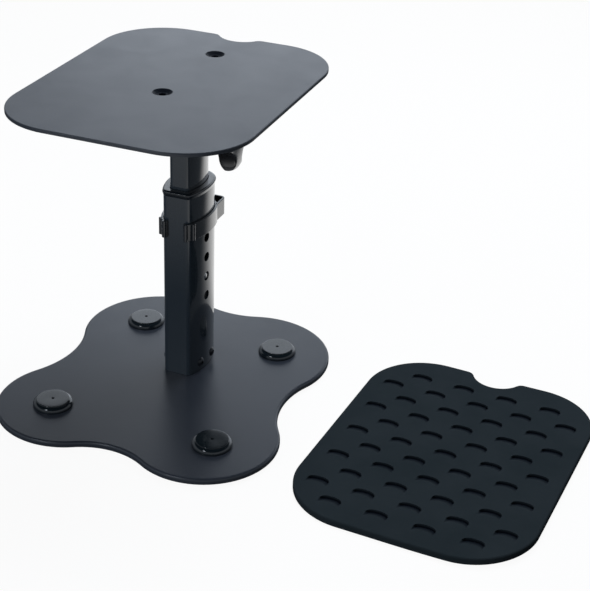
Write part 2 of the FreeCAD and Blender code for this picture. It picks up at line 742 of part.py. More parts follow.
socket_blank = new_body("socket_blank")
outline = sketch_in(socket_blank, "socket_outline")
column_section(outline, seat_inset, size["inside_corner"])
pad(socket_blank, "socket_block", outline, size["socket_height"])
drill = sketch_in(socket_blank, "socket_drilling")
circle(drill, None, -size["socket_screw_front"], size["bolt_radius"] + size["shaft_fit"])
circle(drill, None, size["socket_screw_rear"], size["bolt_radius"] + size["shaft_fit"])
pocket(socket_blank, "socket_threads", drill, size["socket_screw_depth"] + size["bolt_radius"], reverse=True)
place(socket_blank, up=base_top)
nodes.append(cut("column_socket", socket_blank, group("socket_drill_set", socket_drills)))


# Outer tube with its row of height holes on the right

def tube(label, inset, corner, bore_inset_of_tube, bore_corner, length):
    """A hollow column section."""
    body = new_body(label)
    section = sketch_in(body, label + "_section")
    column_section(section, inset, corner)
    column_section(section, bore_inset_of_tube, bore_corner)
    pad(body, label + "_length", section, length)
    return body


outer_blank = tube("outer_blank", ZERO, size["column_corner"], bore_inset, size["inside_corner"],
                   size["outer_tube_length"])
drill = sketch_in(outer_blank, "height_hole", role="YZ_Plane", lift=size["column_width"])
circle(drill, -size["hole_offset"], size["hole_level"], size["hole_radius"])
lowest = pocket(outer_blank, "height_hole_lowest", drill, size["column_width"])
pattern(outer_blank, "height_hole_row", lowest, (drill, ["V_Axis"]), size["hole_pitch"], size["hole_count"])
place(outer_blank, up=base_top)
nodes.append(cut("outer_tube", outer_blank, group("tube_drill_set", tube_drills)))


# Bushing in the outer tube's mouth: a liner and a rim that stands proud

tube_bushing = tube("tube_bushing", seat_inset, size["inside_corner"], liner_inset, size["inner_corner"],
                    size["bushing_depth"])
rim = sketch_in(tube_bushing, "bushing_rim_section", lift=size["bushing_depth"])
column_section(rim, -size["bushing_rim_proud"], size["column_corner"] + size["bushing_rim_proud"])
column_section(rim, liner_inset, size["inner_corner"])
pad(tube_bushing, "bushing_rim", rim, size["bushing_rim_height"])
rim_top = size["bushing_depth"] + size["bushing_rim_height"]
ease(tube_bushing, "bushing_rim_edge", size["bushing_rim_round"], outer_rim(tube_bushing, rim_top))
place(tube_bushing, up=rim_level - size["bushing_depth"])
nodes.append(tube_bushing)


# Inner tube, the glide on its foot and the plug in its head

inner_tube = tube("inner_tube", inner_inset, size["inner_corner"], inner_bore_inset, size["inside_corner"],
                  size["inner_tube_length"])
drill = sketch_in(inner_tube, "button_hole_outline", role="YZ_Plane", lift=size["column_width"])
circle(drill, -size["hole_offset"], size["button_level"], size["hole_radius"])
pocket(inner_tube, "button_hole", drill, size["column_width"])
drill = sketch_in(inner_tube, "pivot_hole_outline", role="YZ_Plane", lift=size["column_width"])
circle(drill, None, size["inner_tube_length"] - size["pivot_drop"], bolt_hole)
pocket(inner_tube, "pivot_hole", drill)
place(inner_tube, up=inner_foot)
nodes.append(inner_tube)

tube_glide = tube("tube_glide", glide_inset, size["inside_corner"], inner_bore_inset, size["inside_corner"],
                  size["glide_step"])
sleeve = sketch_in(tube_glide, "glide_sleeve_section", lift=size["glide_step"])
column_section(sleeve, glide_inset, size["inside_corner"])
column_section(sleeve, inner_inset - size["seat_fit"], size["inner_corner"])
pad(tube_glide, "glide_sleeve", sleeve, size["glide_height"] - size["glide_step"])
place(tube_glide, up=inner_foot - size["glide_step"])
nodes.append(tube_glide)

head_plug = new_body("head_plug")
section = sketch_in(head_plug, "plug_section", lift=-size["plug_depth"])
column_section(section, inner_bore_inset + size["seat_fit"], size["inside_corner"])
pad(head_plug, "plug_block", section, size["plug_depth"])
section = sketch_in(head_plug, "plug_rim_section")
column_section(section, inner_inset, size["inner_corner"])
pad(head_plug, "plug_cover", section, size["plug_rim"])
drill = sketch_in(head_plug, "plug_bore_outline", role="YZ_Plane", lift=size["column_width"])
circle(drill, None, -size["pivot_drop"], size["bolt_radius"] + size["shaft_fit"])
pocket(head_plug, "plug_bore", drill)
place(head_plug, up=inner_top)
nodes.append(head_plug)


# Snap button, drawn pressed in so that its dome just clears the outer tube, and its leaf spring

def side_chord(inset, along):
    """Half the width between the side arcs, moved inwards by inset, at a distance from the widest line."""
    radius = size["column_side_radius"] - inset
    return root(radius * radius - along * along) - size["column_side_radius"] + column_half


stop_edge = size["hole_offset"] + size["button_flange_radius"]
stop_out = side_chord(inner_bore_inset, stop_edge) - size["slide_gap"]
stop_in = stop_out - size["button_travel"]
button_back = stop_in - size["button_flange"]
button_tip = side_chord(bore_inset, size["hole_offset"]) - size["slide_gap"]
spring_edge = size["hole_offset"] + size["spring_width"] / 2
spring_back = size["slide_gap"] - side_chord(inner_bore_inset, spring_edge)

snap_button = new_body("snap_button")
lathe = sketch_in(snap_button, "button_section")
polygon(lathe, [(button_back, None), (button_back, size["button_flange_radius"]),
                (stop_in, size["button_flange_radius"]), (stop_in, size["button_radius"]),
                (button_tip, size["button_radius"]), (button_tip, None)])
revolve(snap_button, "button_turned", lathe, axis="H_Axis")
ease(snap_button, "button_domed", size["button_dome"],
     lambda edge: edge.BoundBox.XMin > button_tip.value - 1e-3)
place(snap_button, along=-size["hole_offset"], up=button_z)
nodes.append(snap_button)

button_spring = new_body("button_spring")
leaf = sketch_in(button_spring, "spring_outline", role="XZ_Plane", lift=-size["spring_width"] / 2)
middle = (button_back + spring_back) / 2
inner_right = button_back - size["spring_leaf"]
inner_left = spring_back + size["spring_leaf"]
bend_under = size["spring_rise"] - size["spring_leaf"]
polygon(leaf, [(button_back, -size["spring_drop"]), (button_back, size["spring_drop"]),
               (middle + size["spring_bend"], size["spring_rise"]),
               (middle - size["spring_bend"], size["spring_rise"]),
               (spring_back, size["spring_drop"]), (spring_back, -size["spring_drop"]),
               (inner_left, -size["spring_drop"]), (inner_left, size["spring_drop"]),
               (middle - size["spring_bend"] + size["spring_leaf"], bend_under),
               (middle + size["spring_bend"] - size["spring_leaf"], bend_under),
               (inner_right, size["spring_drop"]), (inner_right, -size["spring_drop"])])
pad(button_spring, "spring_leaf_bent", leaf, size["spring_width"])
place(button_spring, along=-size["hole_offset"], up=button_z)
nodes.append(button_spring)


# Saddle washers: flat outside, hollowed to the inner tube's sides

washers = []
for name, yaw in (("right", ZERO), ("left", as_dim(180.0))):
    washer = new_body("saddle_washer_" + name)
    ring = sketch_in(washer, "washer_ring_" + name, role="YZ_Plane", lift=inner_half - size["washer_bed"])
    circle(ring, None, None, size["washer_radius"])
    circle(ring, None, None, bolt_hole)
    pad(washer, "washer_stock_" + name, ring, size["washer_bed"] + size["washer_seat"])
    saddle = sketch_in(washer, "washer_saddle_" + name, lift=size["washer_radius"] * 2)
    column_section(saddle, inner_inset - size["seat_fit"], size["inner_corner"])
    pocket(washer, "washer_hollow_" + name, saddle)
    aim(washer, (ZERO, ZERO, pivot_z), yaw, ZERO)
    washers.append(washer)
nodes.append(group("saddle_washers", washers))


# Bracket under the plate: a flat top and two sides that taper down to the pivot

def cheek_outline(sketch, top):
    """A round end about the pivot with two straight flanks that open out to the top."""
    spread = size["cheek_spread"]
    end = size["cheek_end"]
    corner = Vector(spread.value, top.value, 0)
    angle = math.atan2(corner.y, corner.x) - math.acos(end.value / corner.Length)
    touch = Vector(math.cos(angle), math.sin(angle), 0) * end.value
    touch_left = Vector(-touch.x, touch.y, 0)
    corner_left = Vector(-corner.x, corner.y, 0)
    round_end = arc(sketch, Vector(0, 0, 0), end.value, touch_left, touch)
    flank_right = sketch.addGeometry(Part.LineSegment(touch, corner))
    top_line = sketch.addGeometry(Part.LineSegment(corner, corner_left))
    flank_left = sketch.addGeometry(Part.LineSegment(corner_left, touch_left))
    tangent(sketch, round_end, 2, flank_right, 1)
    tangent(sketch, flank_left, 2, round_end, 1)
    sketch.addConstraint(Sketcher.Constraint("Coincident", flank_right, 2, top_line, 1))
    sketch.addConstraint(Sketcher.Constraint("Coincident", top_line, 2, flank_left, 1))
    sketch.addConstraint(Sketcher.Constraint("Coincident", round_end, 3, -1, 1))
    tie(sketch, end, "Radius", round_end)
    pin(sketch, top_line, 1, spread, top)
    pin(sketch, top_line, 2, -spread, top)


plate_bracket = new_body("plate_bracket")
web_bottom = size["pivot_to_plate"] - size["web_wall"]
outline = sketch_in(plate_bracket, "web_outline", lift=web_bottom)
rounded_box(outline, size["web_half_width"] * 2, size["web_half_length"] * 2, size["web_corner"])
pad(plate_bracket, "web", outline, size["web_wall"])
for name, lift in (("right", cheek_inside), ("left", -cheek_outside)):
    outline = sketch_in(plate_bracket, "cheek_outline_" + name, role="YZ_Plane", lift=lift)
    cheek_outline(outline, web_bottom)
    pad(plate_bracket, "cheek_" + name, outline, size["cheek_wall"])
drill = sketch_in(plate_bracket, "pivot_bore_outline", role="YZ_Plane", lift=size["column_width"])
circle(drill, None, None, size["bolt_radius"] + size["shaft_fit"])
pocket(plate_bracket, "pivot_bore", drill)
drill = sketch_in(plate_bracket, "web_hole_outline", lift=size["pivot_to_plate"])
for along in (-size["plate_screw_y"], size["plate_screw_y"]):
    circle(drill, None, along, bolt_hole)
pocket(plate_bracket, "web_holes", drill, size["web_wall"])
web_sink = at_least(head_sink - size["plate_thickness"] + size["bolt_head_rim"], size["bolt_hole_fit"])
ease(plate_bracket, "web_sinks", web_sink,
     lambda edge: (level_edge(edge, size["pivot_to_plate"].value)
                   and abs(edge.BoundBox.Center.x) < 1e-3
                   and abs(edge.BoundBox.XLength - bolt_hole.value * 2) < 1e-3),
     kind="PartDesign::Chamfer")
place(plate_bracket, up=pivot_z)
nodes.append(plate_bracket)

plate_screws = []
weld_nuts = []
for name, along in (("front", -size["plate_screw_y"]), ("rear", size["plate_screw_y"])):
    screw = countersunk_screw("plate_screw_" + name, size["plate_screw_length"])
    place(screw, along=along, up=plate_top)
    plate_screws.append(screw)
    hexagon = primitive("Part::Prism", "nut_hexagon_" + name, Polygon=6, Circumradius=size["nut_corner"],
                        Height=size["nut_height"])
    thread = primitive("Part::Cylinder", "nut_thread_" + name, Radius=size["bolt_radius"] + size["shaft_fit"],
                       Height=size["nut_height"])
    nut = cut("weld_nut_" + name, hexagon, thread)
    place(nut, along=along, up=plate_bottom - size["web_wall"] - size["nut_height"])
    weld_nuts.append(nut)
nodes.append(group("weld_nuts", weld_nuts))
nodes.append(group("plate_screws", plate_screws))


# Top plate and pad: one rounded rectangle, each with its cable notch in the rear edge

def plate_blank(label, thickness, edge_round, notch_width, notch_depth):
    """A rounded slab about the origin, with the notch at +Y and a rounded upper edge."""
    body = new_body(label)
    outline = sketch_in(body, label + "_outline")
    rounded_box(outline, size["plate_width"], size["plate_depth"], size["plate_corner"])
    pad(body, label + "_slab", outline, thickness)
    half = notch_width / 2
    notch_radius = (half * half + notch_depth * notch_depth) / (notch_depth * 2)
    notch = sketch_in(body, label + "_notch_outline", lift=thickness)
    circle(notch, None, size["plate_depth"] / 2 - notch_depth + notch_radius, notch_radius)
    pocket(body, label + "_notch", notch)
    ease(body, label + "_notch_shoulders", size["notch_shoulder"],
         lambda edge: edge.BoundBox.ZLength > thickness.value / 2 and edge.BoundBox.XLength < 1e-3
         and abs(edge.BoundBox.Center.y - size["plate_depth"].value / 2) < 1e-3
         and abs(abs(edge.BoundBox.Center.x) - half.value) < 1e-3)
    ease(body, label + "_upper_edge", edge_round, lambda edge: level_edge(edge, thickness.value))
    return body


top_plate = plate_blank("top_plate", size["plate_thickness"], size["plate_round"], size["notch_width"],
                        size["notch_depth"])
plate_hole = at_least(sink_radius - size["plate_thickness"] + size["bolt_head_rim"], bolt_hole)
drill = sketch_in(top_plate, "plate_hole_outline", lift=size["plate_thickness"])
for along in (-size["plate_screw_y"], size["plate_screw_y"]):
    circle(drill, None, size["plate_forward"] + along, plate_hole)
pocket(top_plate, "plate_holes", drill)
ease(top_plate, "plate_sinks", sink_radius - plate_hole,
     lambda edge: (level_edge(edge, size["plate_thickness"].value)
                   and abs(edge.BoundBox.Center.x) < 1e-3
                   and abs(edge.BoundBox.XLength - plate_hole.value * 2) < 1e-3),
     kind="PartDesign::Chamfer")
place(top_plate, along=-size["plate_forward"], up=plate_bottom)
nodes.append(top_plate)


def crescent(sketch, across, along):
    """A slot about an arc that bulges towards +Y, ahead of a place on its row's line, with rounded ends."""
    along = along - size["slot_back"]
    middle = size["slot_radius"]
    half_width = size["slot_width"] / 2
    reach = size["slot_half_length"]
    centre = Vector(across.value, along.value - middle.value, 0)
    rise = math.sqrt(middle.value ** 2 - reach.value ** 2)
    ends = [centre + Vector(reach.value, rise, 0), centre + Vector(-reach.value, rise, 0)]
    far = middle + half_width
    near = middle - half_width
    ways = [(end - centre).normalize() for end in ends]
    far_right, far_left = [centre + way * far.value for way in ways]
    near_right, near_left = [centre + way * near.value for way in ways]
    outer = arc(sketch, centre, far.value, far_right, far_left)
    inner = arc(sketch, centre, near.value, near_right, near_left)
    end_right = arc(sketch, ends[0], half_width.value, near_right, far_right)
    end_left = arc(sketch, ends[1], half_width.value, far_left, near_left)
    tangent(sketch, end_right, 2, outer, 1)
    tangent(sketch, outer, 2, end_left, 1)
    tangent(sketch, end_left, 2, inner, 2)
    tangent(sketch, inner, 1, end_right, 1)
    sketch.addConstraint(Sketcher.Constraint("Coincident", outer, 3, inner, 3))
    tie(sketch, far, "Radius", outer)
    tie(sketch, near, "Radius", inner)
    pin(sketch, outer, 3, across, along - middle)
    tie(sketch, reach, "DistanceX", outer, 3, end_right, 3)
    tie(sketch, reach, "DistanceX", end_left, 3, outer, 3)


rubber_pad = plate_blank("rubber_pad", size["pad_thickness"], size["pad_round"], size["pad_notch_width"],
                         size["pad_notch_depth"])
for name, per_row, rows in (("even", 4, 6), ("odd", 5, 5)):
    outline = sketch_in(rubber_pad, "slot_outline_" + name, lift=size["pad_thickness"])
    crescent(outline, -size["slot_pitch_x"] * ((per_row - 1) / 2), -size["slot_pitch_y"] * (rows - 1))
    slot = pocket(rubber_pad, "slot_" + name, outline, size["slot_depth"])
    pattern(rubber_pad, "slots_" + name, slot, (outline, ["H_Axis"]), size["slot_pitch_x"], as_dim(per_row),
            rows=((outline, ["V_Axis"]), size["slot_pitch_y"] * 2, as_dim(rows)))
aim(rubber_pad, (size["pad_x"], size["pad_y"], ZERO), size["pad_turn"], ZERO)
nodes.append(rubber_pad)


# Pivot bolt and the clamp knob with its metal insert, on the pivot's axis towards +X

hexagon = primitive("Part::Prism", "pivot_hexagon", Polygon=6, Circumradius=size["nut_corner"],
                    Height=size["pivot_head"])
shank = primitive("Part::Cylinder", "pivot_shank", Radius=size["bolt_radius"],
                  Height=cheek_outside * 2 + size["seat_fit"] + size["pivot_grip"])
place(shank, up=size["pivot_head"])
pivot_bolt = fuse("pivot_bolt", [hexagon, shank])
aim(pivot_bolt, (-cheek_outside - size["pivot_head"], ZERO, pivot_z), ZERO, as_dim(90.0))
nodes.append(pivot_bolt)

knob_face = cheek_outside + size["seat_fit"]
grip = primitive("Part::Ellipsoid", "knob_grip", Radius1=size["knob_half"], Radius2=size["knob_radius"],
                 Radius3=size["knob_radius"])
place(grip, up=size["knob_stand"])
scallops = []
for i in range(int(size["knob_lobes"].value)):
    angle = 2 * math.pi * (i + 0.5) / size["knob_lobes"].value
    ring = size["knob_radius"] + size["knob_scallop_out"]
    scallop = primitive("Part::Cylinder", "knob_scallop_%d" % i, Radius=size["knob_scallop"],
                        Height=size["knob_half"] * 4)
    place(scallop, ring * math.cos(angle), ring * math.sin(angle), size["knob_stand"] - size["knob_half"] * 2)
    scallops.append(scallop)
lobed = cut("knob_lobed", grip, group("knob_scallops", scallops))
hub = primitive("Part::Cylinder", "knob_hub", Radius=size["knob_hub_radius"], Height=size["knob_stand"])
bore = primitive("Part::Cylinder", "knob_bore", Radius=size["insert_radius"] + size["seat_fit"],
                 Height=size["insert_length"] + size["seat_fit"])
clamp_knob = cut("clamp_knob", fuse("knob_blank", [lobed, hub]), bore)
aim(clamp_knob, (knob_face, ZERO, pivot_z), ZERO, as_dim(90.0))
nodes.append(clamp_knob)

stock = primitive("Part::Cylinder", "insert_stock", Radius=size["insert_radius"],
                  Height=size["insert_length"])
thread = primitive("Part::Cylinder", "insert_thread", Radius=size["bolt_radius"] + size["shaft_fit"],
                   Height=size["insert_length"])
knob_insert = cut("knob_insert", stock, thread)
aim(knob_insert, (knob_face, ZERO, pivot_z), ZERO, as_dim(90.0))
nodes.append(knob_insert)


# Cable clip: a band with its mouth at the front and two hooks behind the column

cable_clip = new_body("cable_clip")
band_out = size["slide_gap"] + size["clip_wall"]
outline = sketch_in(cable_clip, "band_outline")
column_section(outline, -band_out, size["column_corner"] + band_out)
pad(cable_clip, "band", outline, size["clip_height"])
wide = size["hook_half_width"]
tip = size["hook_gap"] / 2
back = size["hook_reach"]
start = size["hook_start"]
wall = size["hook_wall"]
outline = sketch_in(cable_clip, "hook_outline")
polygon(outline, [(wide, start), (wide, back), (tip, back), (tip, back - wall), (wide - wall, back - wall),
                  (wide - wall, start)])
polygon(outline, [(-wide, start), (wall - wide, start), (wall - wide, back - wall), (-tip, back - wall),
                  (-tip, back), (-wide, back)])
for name in ("front_rib", "side_rib"):
    for across in (size[name + "_x"], -size[name + "_x"]):
        circle(outline, across, -size[name + "_y"], size[name])
pad(cable_clip, "hooks_and_ribs", outline, size["clip_height"])
hollow = sketch_in(cable_clip, "band_hollow_outline", lift=size["clip_height"])
column_section(hollow, -size["slide_gap"], size["column_corner"])
pocket(cable_clip, "band_hollow", hollow)
mouth = sketch_in(cable_clip, "mouth_outline", lift=size["clip_height"])
half_mouth = size["clip_mouth"] / 2
polygon(mouth, [(-half_mouth, -size["column_side_radius"]), (half_mouth, -size["column_side_radius"]),
                (half_mouth, None), (-half_mouth, None)])
pocket(cable_clip, "mouth", mouth)


def upright_at(across, along):
    """A test for upright edges at |x|, y."""
    return lambda edge: (edge.BoundBox.ZLength > size["clip_height"].value / 2
                         and edge.BoundBox.XLength < 1e-3 and edge.BoundBox.YLength < 1e-3
                         and abs(abs(edge.BoundBox.Center.x) - across.value) < 1e-3
                         and abs(edge.BoundBox.Center.y - along.value) < 1e-3)


ease(cable_clip, "hook_outer_corners", size["hook_round"], upright_at(wide, back))
ease(cable_clip, "hook_inner_corners", at_least(size["hook_round"] - wall, size["slide_gap"]),
     upright_at(wide - wall, back - wall))
place(cable_clip, up=rim_level - size["clip_drop"])
nodes.append(cable_clip)


# Check every object, then write each piece to its own file

doc.recompute()
faults = [thing.Label for thing in doc.Objects if "Invalid" in thing.State or "Error" in thing.State]
faults += [node.Label for node in nodes if node.Shape.isNull() or not node.Shape.isValid()]
if faults:
    raise RuntimeError("failed: " + ", ".join(sorted(set(faults))))
os.makedirs("parts", exist_ok=True)
for node in nodes:
    node.Shape.exportStep("parts/%s.step" % node.Label)
    box = node.Shape.BoundBox
    print("%-26s solids %d volume %9.1f  x %7.1f %7.1f  y %7.1f %7.1f  z %6.1f %6.1f" % (
        node.Label, len(node.Shape.Solids), node.Shape.Volume, box.XMin, box.XMax, box.YMin, box.YMax,
        box.ZMin, box.ZMax))
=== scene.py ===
"""Looks of a desktop monitor stand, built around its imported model, in metres.

The model gives every piece its place, and this script finishes them. It models anew those whose skin is
fine or soft: the scooped pad, the foot caps, the plate screws, the snap button, both tubes, the bushing,
the cable clip and the clamp knob.
"""
import json
import math

import bmesh
import bpy
import numpy as np
from mathutils import Matrix, Vector


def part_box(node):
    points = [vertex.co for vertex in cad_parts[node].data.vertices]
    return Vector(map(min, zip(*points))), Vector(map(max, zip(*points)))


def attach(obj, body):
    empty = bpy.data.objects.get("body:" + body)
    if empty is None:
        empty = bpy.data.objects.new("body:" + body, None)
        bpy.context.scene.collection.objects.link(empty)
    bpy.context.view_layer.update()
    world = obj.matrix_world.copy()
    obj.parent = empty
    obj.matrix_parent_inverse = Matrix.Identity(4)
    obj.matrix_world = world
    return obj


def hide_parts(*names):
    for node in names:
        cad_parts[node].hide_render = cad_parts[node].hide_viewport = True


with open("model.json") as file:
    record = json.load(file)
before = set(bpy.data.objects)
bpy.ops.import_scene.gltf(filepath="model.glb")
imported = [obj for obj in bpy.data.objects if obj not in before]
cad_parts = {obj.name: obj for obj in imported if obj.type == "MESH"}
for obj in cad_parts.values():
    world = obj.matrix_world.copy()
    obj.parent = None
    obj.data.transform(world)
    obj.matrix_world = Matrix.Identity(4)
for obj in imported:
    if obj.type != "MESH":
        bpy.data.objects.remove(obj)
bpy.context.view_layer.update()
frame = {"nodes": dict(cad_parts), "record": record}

MM = 0.001

# Camera of the photograph: degrees, metres, the photograph's pixels, and the sensor in millimetres
PHOTO_SIZE = (590, 591)
VIEW_AZIMUTH = 20.5
VIEW_ELEVATION = 28.5
VIEW_ROLL = 2.2
VIEW_DISTANCE = 1.3301
VIEW_TARGET = (0.1032, 0.0072, 0.0988)
FOCAL_PIXELS = 1445.6
SENSOR = 36.0

# Sky: its colour, its soft light, and the panel that reflections see, with angles in degrees
SKY_COLOUR = (0.84, 0.91, 1.0)
SKY_LIGHT = 0.16
PANEL_AIM = (-0.081, 0.924, 0.375)
PANEL_ANGLES = (14.0, 45.0)
PANEL_EDGE = 0.28
PANEL_TOP = (32.5, 33.6)
PANEL_ABOVE = 0.04

# Floor, and its glowing places of painted light seen only in reflections: place, outer and inner reach in
# metres, strength
FLOOR_HALF = 6.0
FLOOR_COLOUR = (0.92, 0.93, 0.94)
FLOOR_BOUNCE = (0.10, 0.105, 0.11)
FLOOR_GLOW = 0.94
FLOOR_LIGHTS = [((-0.08, 0.42, 0.0), 0.42, 0.24, 1.0), ((0.0, -0.80, 0.0), 0.68, 0.30, 0.31),
                ((0.27, -0.36, 0.0), 0.22, 0.10, 0.50)]

# Lamps: name, place, side in metres, watts, and whether reflections show it
LAMPS = [("back_softbox", (0.18, 0.80, 1.50), 0.9, 23.5, False),
         ("rim_light", (-0.66, 1.58, 0.55), 0.6, 0.85, True),
         ("glint_light", (-0.42, -1.10, 1.05), 0.25, 1.4, True),
         ("low_fill", (-0.45, -1.30, 0.40), 1.0, 8.0, False)]

# Edges between faces that meet at more than this many degrees stay sharp
SHARP_ANGLE = 40.0

# Sizes of the column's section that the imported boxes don't give, in millimetres, and the places
# on its front line, corner, side and rear
SIDE_RADIUS = 63.6
REAR_STEP = 1.5
TUBE_CORNER = 5.2
SECTION_COUNTS = (6, 12, 48, 28)


# Node helpers

def add(tree, kind, **settings):
    """A node of a tree with its properties set."""
    node = tree.nodes.new(kind)
    for name, value in settings.items():
        setattr(node, name, value)
    return node


def join(tree, source, target):
    """Link two sockets."""
    tree.links.new(source, target)


def combine(tree, operation, first, second):
    """The result of a math node from two values, each a socket or a number."""
    node = add(tree, "ShaderNodeMath", operation=operation)
    for socket, value in zip(node.inputs, (first, second)):
        if isinstance(value, float):
            socket.default_value = value
        else:
            join(tree, value, socket)
    return node.outputs[0]


def new_group(name, inputs, outputs):
    """A shader node group with named sockets, and its input and output nodes."""
    tree = bpy.data.node_groups.new(name, "ShaderNodeTree")
    for label, kind, value in inputs:
        socket = tree.interface.new_socket(label, in_out="INPUT", socket_type=kind)
        if value is not None:
            socket.default_value = value
    for label, kind in outputs:
        tree.interface.new_socket(label, in_out="OUTPUT", socket_type=kind)
    return tree, tree.nodes.new("NodeGroupInput"), tree.nodes.new("NodeGroupOutput")


FLOAT = "NodeSocketFloat"
COLOUR = "NodeSocketColor"
VECTOR = "NodeSocketVector"

# Shares of the fine speckle in the grain's height and in the change of tone, and how much finer it is
SPECK_HEIGHT = 0.35
SPECK_TINT = 0.5
SPECK_FINER = 2.7

# Patches to the metre of the change of tone and of the wiped places
DRIFT_SCALE = 14.0
SMEAR_SCALE = 30.0

# Attribute of a surface that says how deep it lies, from 0 to 1, which sets the painted shade in hollows
HOLLOW = "hollow"


def build_coat_grain():
    """Fine orange peel: two noises of unlike scale added, as a height and as a speckle mask."""
    tree, start, end = new_group(
        "coat_grain",
        [("Vector", VECTOR, None), ("Peel Scale", FLOAT, None), ("Speck Scale", FLOAT, None)],
        [("Height", FLOAT), ("Speck", FLOAT)])
    peel = add(tree, "ShaderNodeTexNoise")
    peel.inputs["Detail"].default_value = 3.0
    speck = add(tree, "ShaderNodeTexNoise")
    speck.inputs["Detail"].default_value = 1.0
    mix = add(tree, "ShaderNodeMath", operation="MULTIPLY_ADD")
    mix.inputs[1].default_value = SPECK_HEIGHT
    ramp = add(tree, "ShaderNodeMapRange")
    ramp.inputs["From Min"].default_value = 0.42
    ramp.inputs["From Max"].default_value = 0.72
    for noise, label in ((peel, "Peel Scale"), (speck, "Speck Scale")):
        join(tree, start.outputs["Vector"], noise.inputs["Vector"])
        join(tree, start.outputs[label], noise.inputs["Scale"])
    join(tree, speck.outputs["Fac"], mix.inputs[0])
    join(tree, peel.outputs["Fac"], mix.inputs[2])
    join(tree, mix.outputs[0], end.inputs["Height"])
    join(tree, speck.outputs["Fac"], ramp.inputs["Value"])
    join(tree, ramp.outputs["Result"], end.inputs["Speck"])
    return tree


def build_tone_drift():
    """Slow change of tone: the colour goes towards a second one where a wide noise is high."""
    tree, start, end = new_group(
        "tone_drift",
        [("Vector", VECTOR, None), ("Colour", COLOUR, None), ("Drifted", COLOUR, None),
         ("Scale", FLOAT, DRIFT_SCALE), ("Speck", FLOAT, None)],
        [("Colour", COLOUR)])
    cloud = add(tree, "ShaderNodeTexNoise")
    cloud.inputs["Detail"].default_value = 4.0
    cloud.inputs["Roughness"].default_value = 0.6
    ramp = add(tree, "ShaderNodeMapRange")
    ramp.inputs["From Min"].default_value = 0.36
    ramp.inputs["From Max"].default_value = 0.66
    total = add(tree, "ShaderNodeMath", operation="MULTIPLY_ADD", use_clamp=True)
    total.inputs[1].default_value = SPECK_TINT
    mix = add(tree, "ShaderNodeMix", data_type="RGBA")
    join(tree, start.outputs["Vector"], cloud.inputs["Vector"])
    join(tree, start.outputs["Scale"], cloud.inputs["Scale"])
    join(tree, cloud.outputs["Fac"], ramp.inputs["Value"])
    join(tree, start.outputs["Speck"], total.inputs[0])
    join(tree, ramp.outputs["Result"], total.inputs[2])
    join(tree, total.outputs[0], mix.inputs["Factor"])
    join(tree, start.outputs["Colour"], mix.inputs["A"])
    join(tree, start.outputs["Drifted"], mix.inputs["B"])
    join(tree, mix.outputs["Result"], end.inputs["Colour"])
    return tree


def build_handling():
    """Roughness that wanders between two values, as on a surface that has been handled and wiped."""
    tree, start, end = new_group(
        "handling",
        [("Vector", VECTOR, None), ("Smooth", FLOAT, None), ("Rough", FLOAT, None),
         ("Scale", FLOAT, SMEAR_SCALE)],
        [("Roughness", FLOAT)])
    smear = add(tree, "ShaderNodeTexNoise")
    smear.inputs["Detail"].default_value = 5.0
    smear.inputs["Distortion"].default_value = 0.6
    ramp = add(tree, "ShaderNodeMapRange")
    ramp.inputs["From Min"].default_value = 0.3
    ramp.inputs["From Max"].default_value = 0.7
    join(tree, start.outputs["Vector"], smear.inputs["Vector"])
    join(tree, start.outputs["Scale"], smear.inputs["Scale"])
    join(tree, smear.outputs["Fac"], ramp.inputs["Value"])
    join(tree, start.outputs["Smooth"], ramp.inputs["To Min"])
    join(tree, start.outputs["Rough"], ramp.inputs["To Max"])
    join(tree, ramp.outputs["Result"], end.inputs["Roughness"])
    return tree


COAT_GRAIN = build_coat_grain()
TONE_DRIFT = build_tone_drift()
HANDLING = build_handling()


def finish_of(name, colour, drifted, smooth, rough, peel, depth, metallic=0.0, specular=0.5,
              coat=0.0, coat_rough=0.1):
    """A material from the three shared groups.

    smooth and rough are the ends of its roughness, peel is the number of bumps of the grain to the metre,
    depth their height in metres.
    """
    material = bpy.data.materials.new(name)
    material.use_nodes = True
    tree = material.node_tree
    shader = tree.nodes["Principled BSDF"]
    shader.inputs["Metallic"].default_value = metallic
    shader.inputs["Specular IOR Level"].default_value = specular
    shader.inputs["Coat Weight"].default_value = coat
    shader.inputs["Coat Roughness"].default_value = coat_rough
    place = add(tree, "ShaderNodeTexCoord")
    grain = add(tree, "ShaderNodeGroup", node_tree=COAT_GRAIN)
    grain.inputs["Peel Scale"].default_value = peel
    grain.inputs["Speck Scale"].default_value = peel * SPECK_FINER
    drift = add(tree, "ShaderNodeGroup", node_tree=TONE_DRIFT)
    drift.inputs["Colour"].default_value = (*colour, 1.0)
    drift.inputs["Drifted"].default_value = (*drifted, 1.0)
    wear = add(tree, "ShaderNodeGroup", node_tree=HANDLING)
    wear.inputs["Smooth"].default_value = smooth
    wear.inputs["Rough"].default_value = rough
    bump = add(tree, "ShaderNodeBump")
    bump.inputs["Strength"].default_value = 1.0
    bump.inputs["Distance"].default_value = depth
    for group in (grain, drift, wear):
        join(tree, place.outputs["Object"], group.inputs["Vector"])
    join(tree, grain.outputs["Speck"], drift.inputs["Speck"])
    join(tree, grain.outputs["Height"], bump.inputs["Height"])
    join(tree, drift.outputs["Colour"], shader.inputs["Base Color"])
    join(tree, wear.outputs["Roughness"], shader.inputs["Roughness"])
    join(tree, bump.outputs["Normal"], shader.inputs["Normal"])
    return material


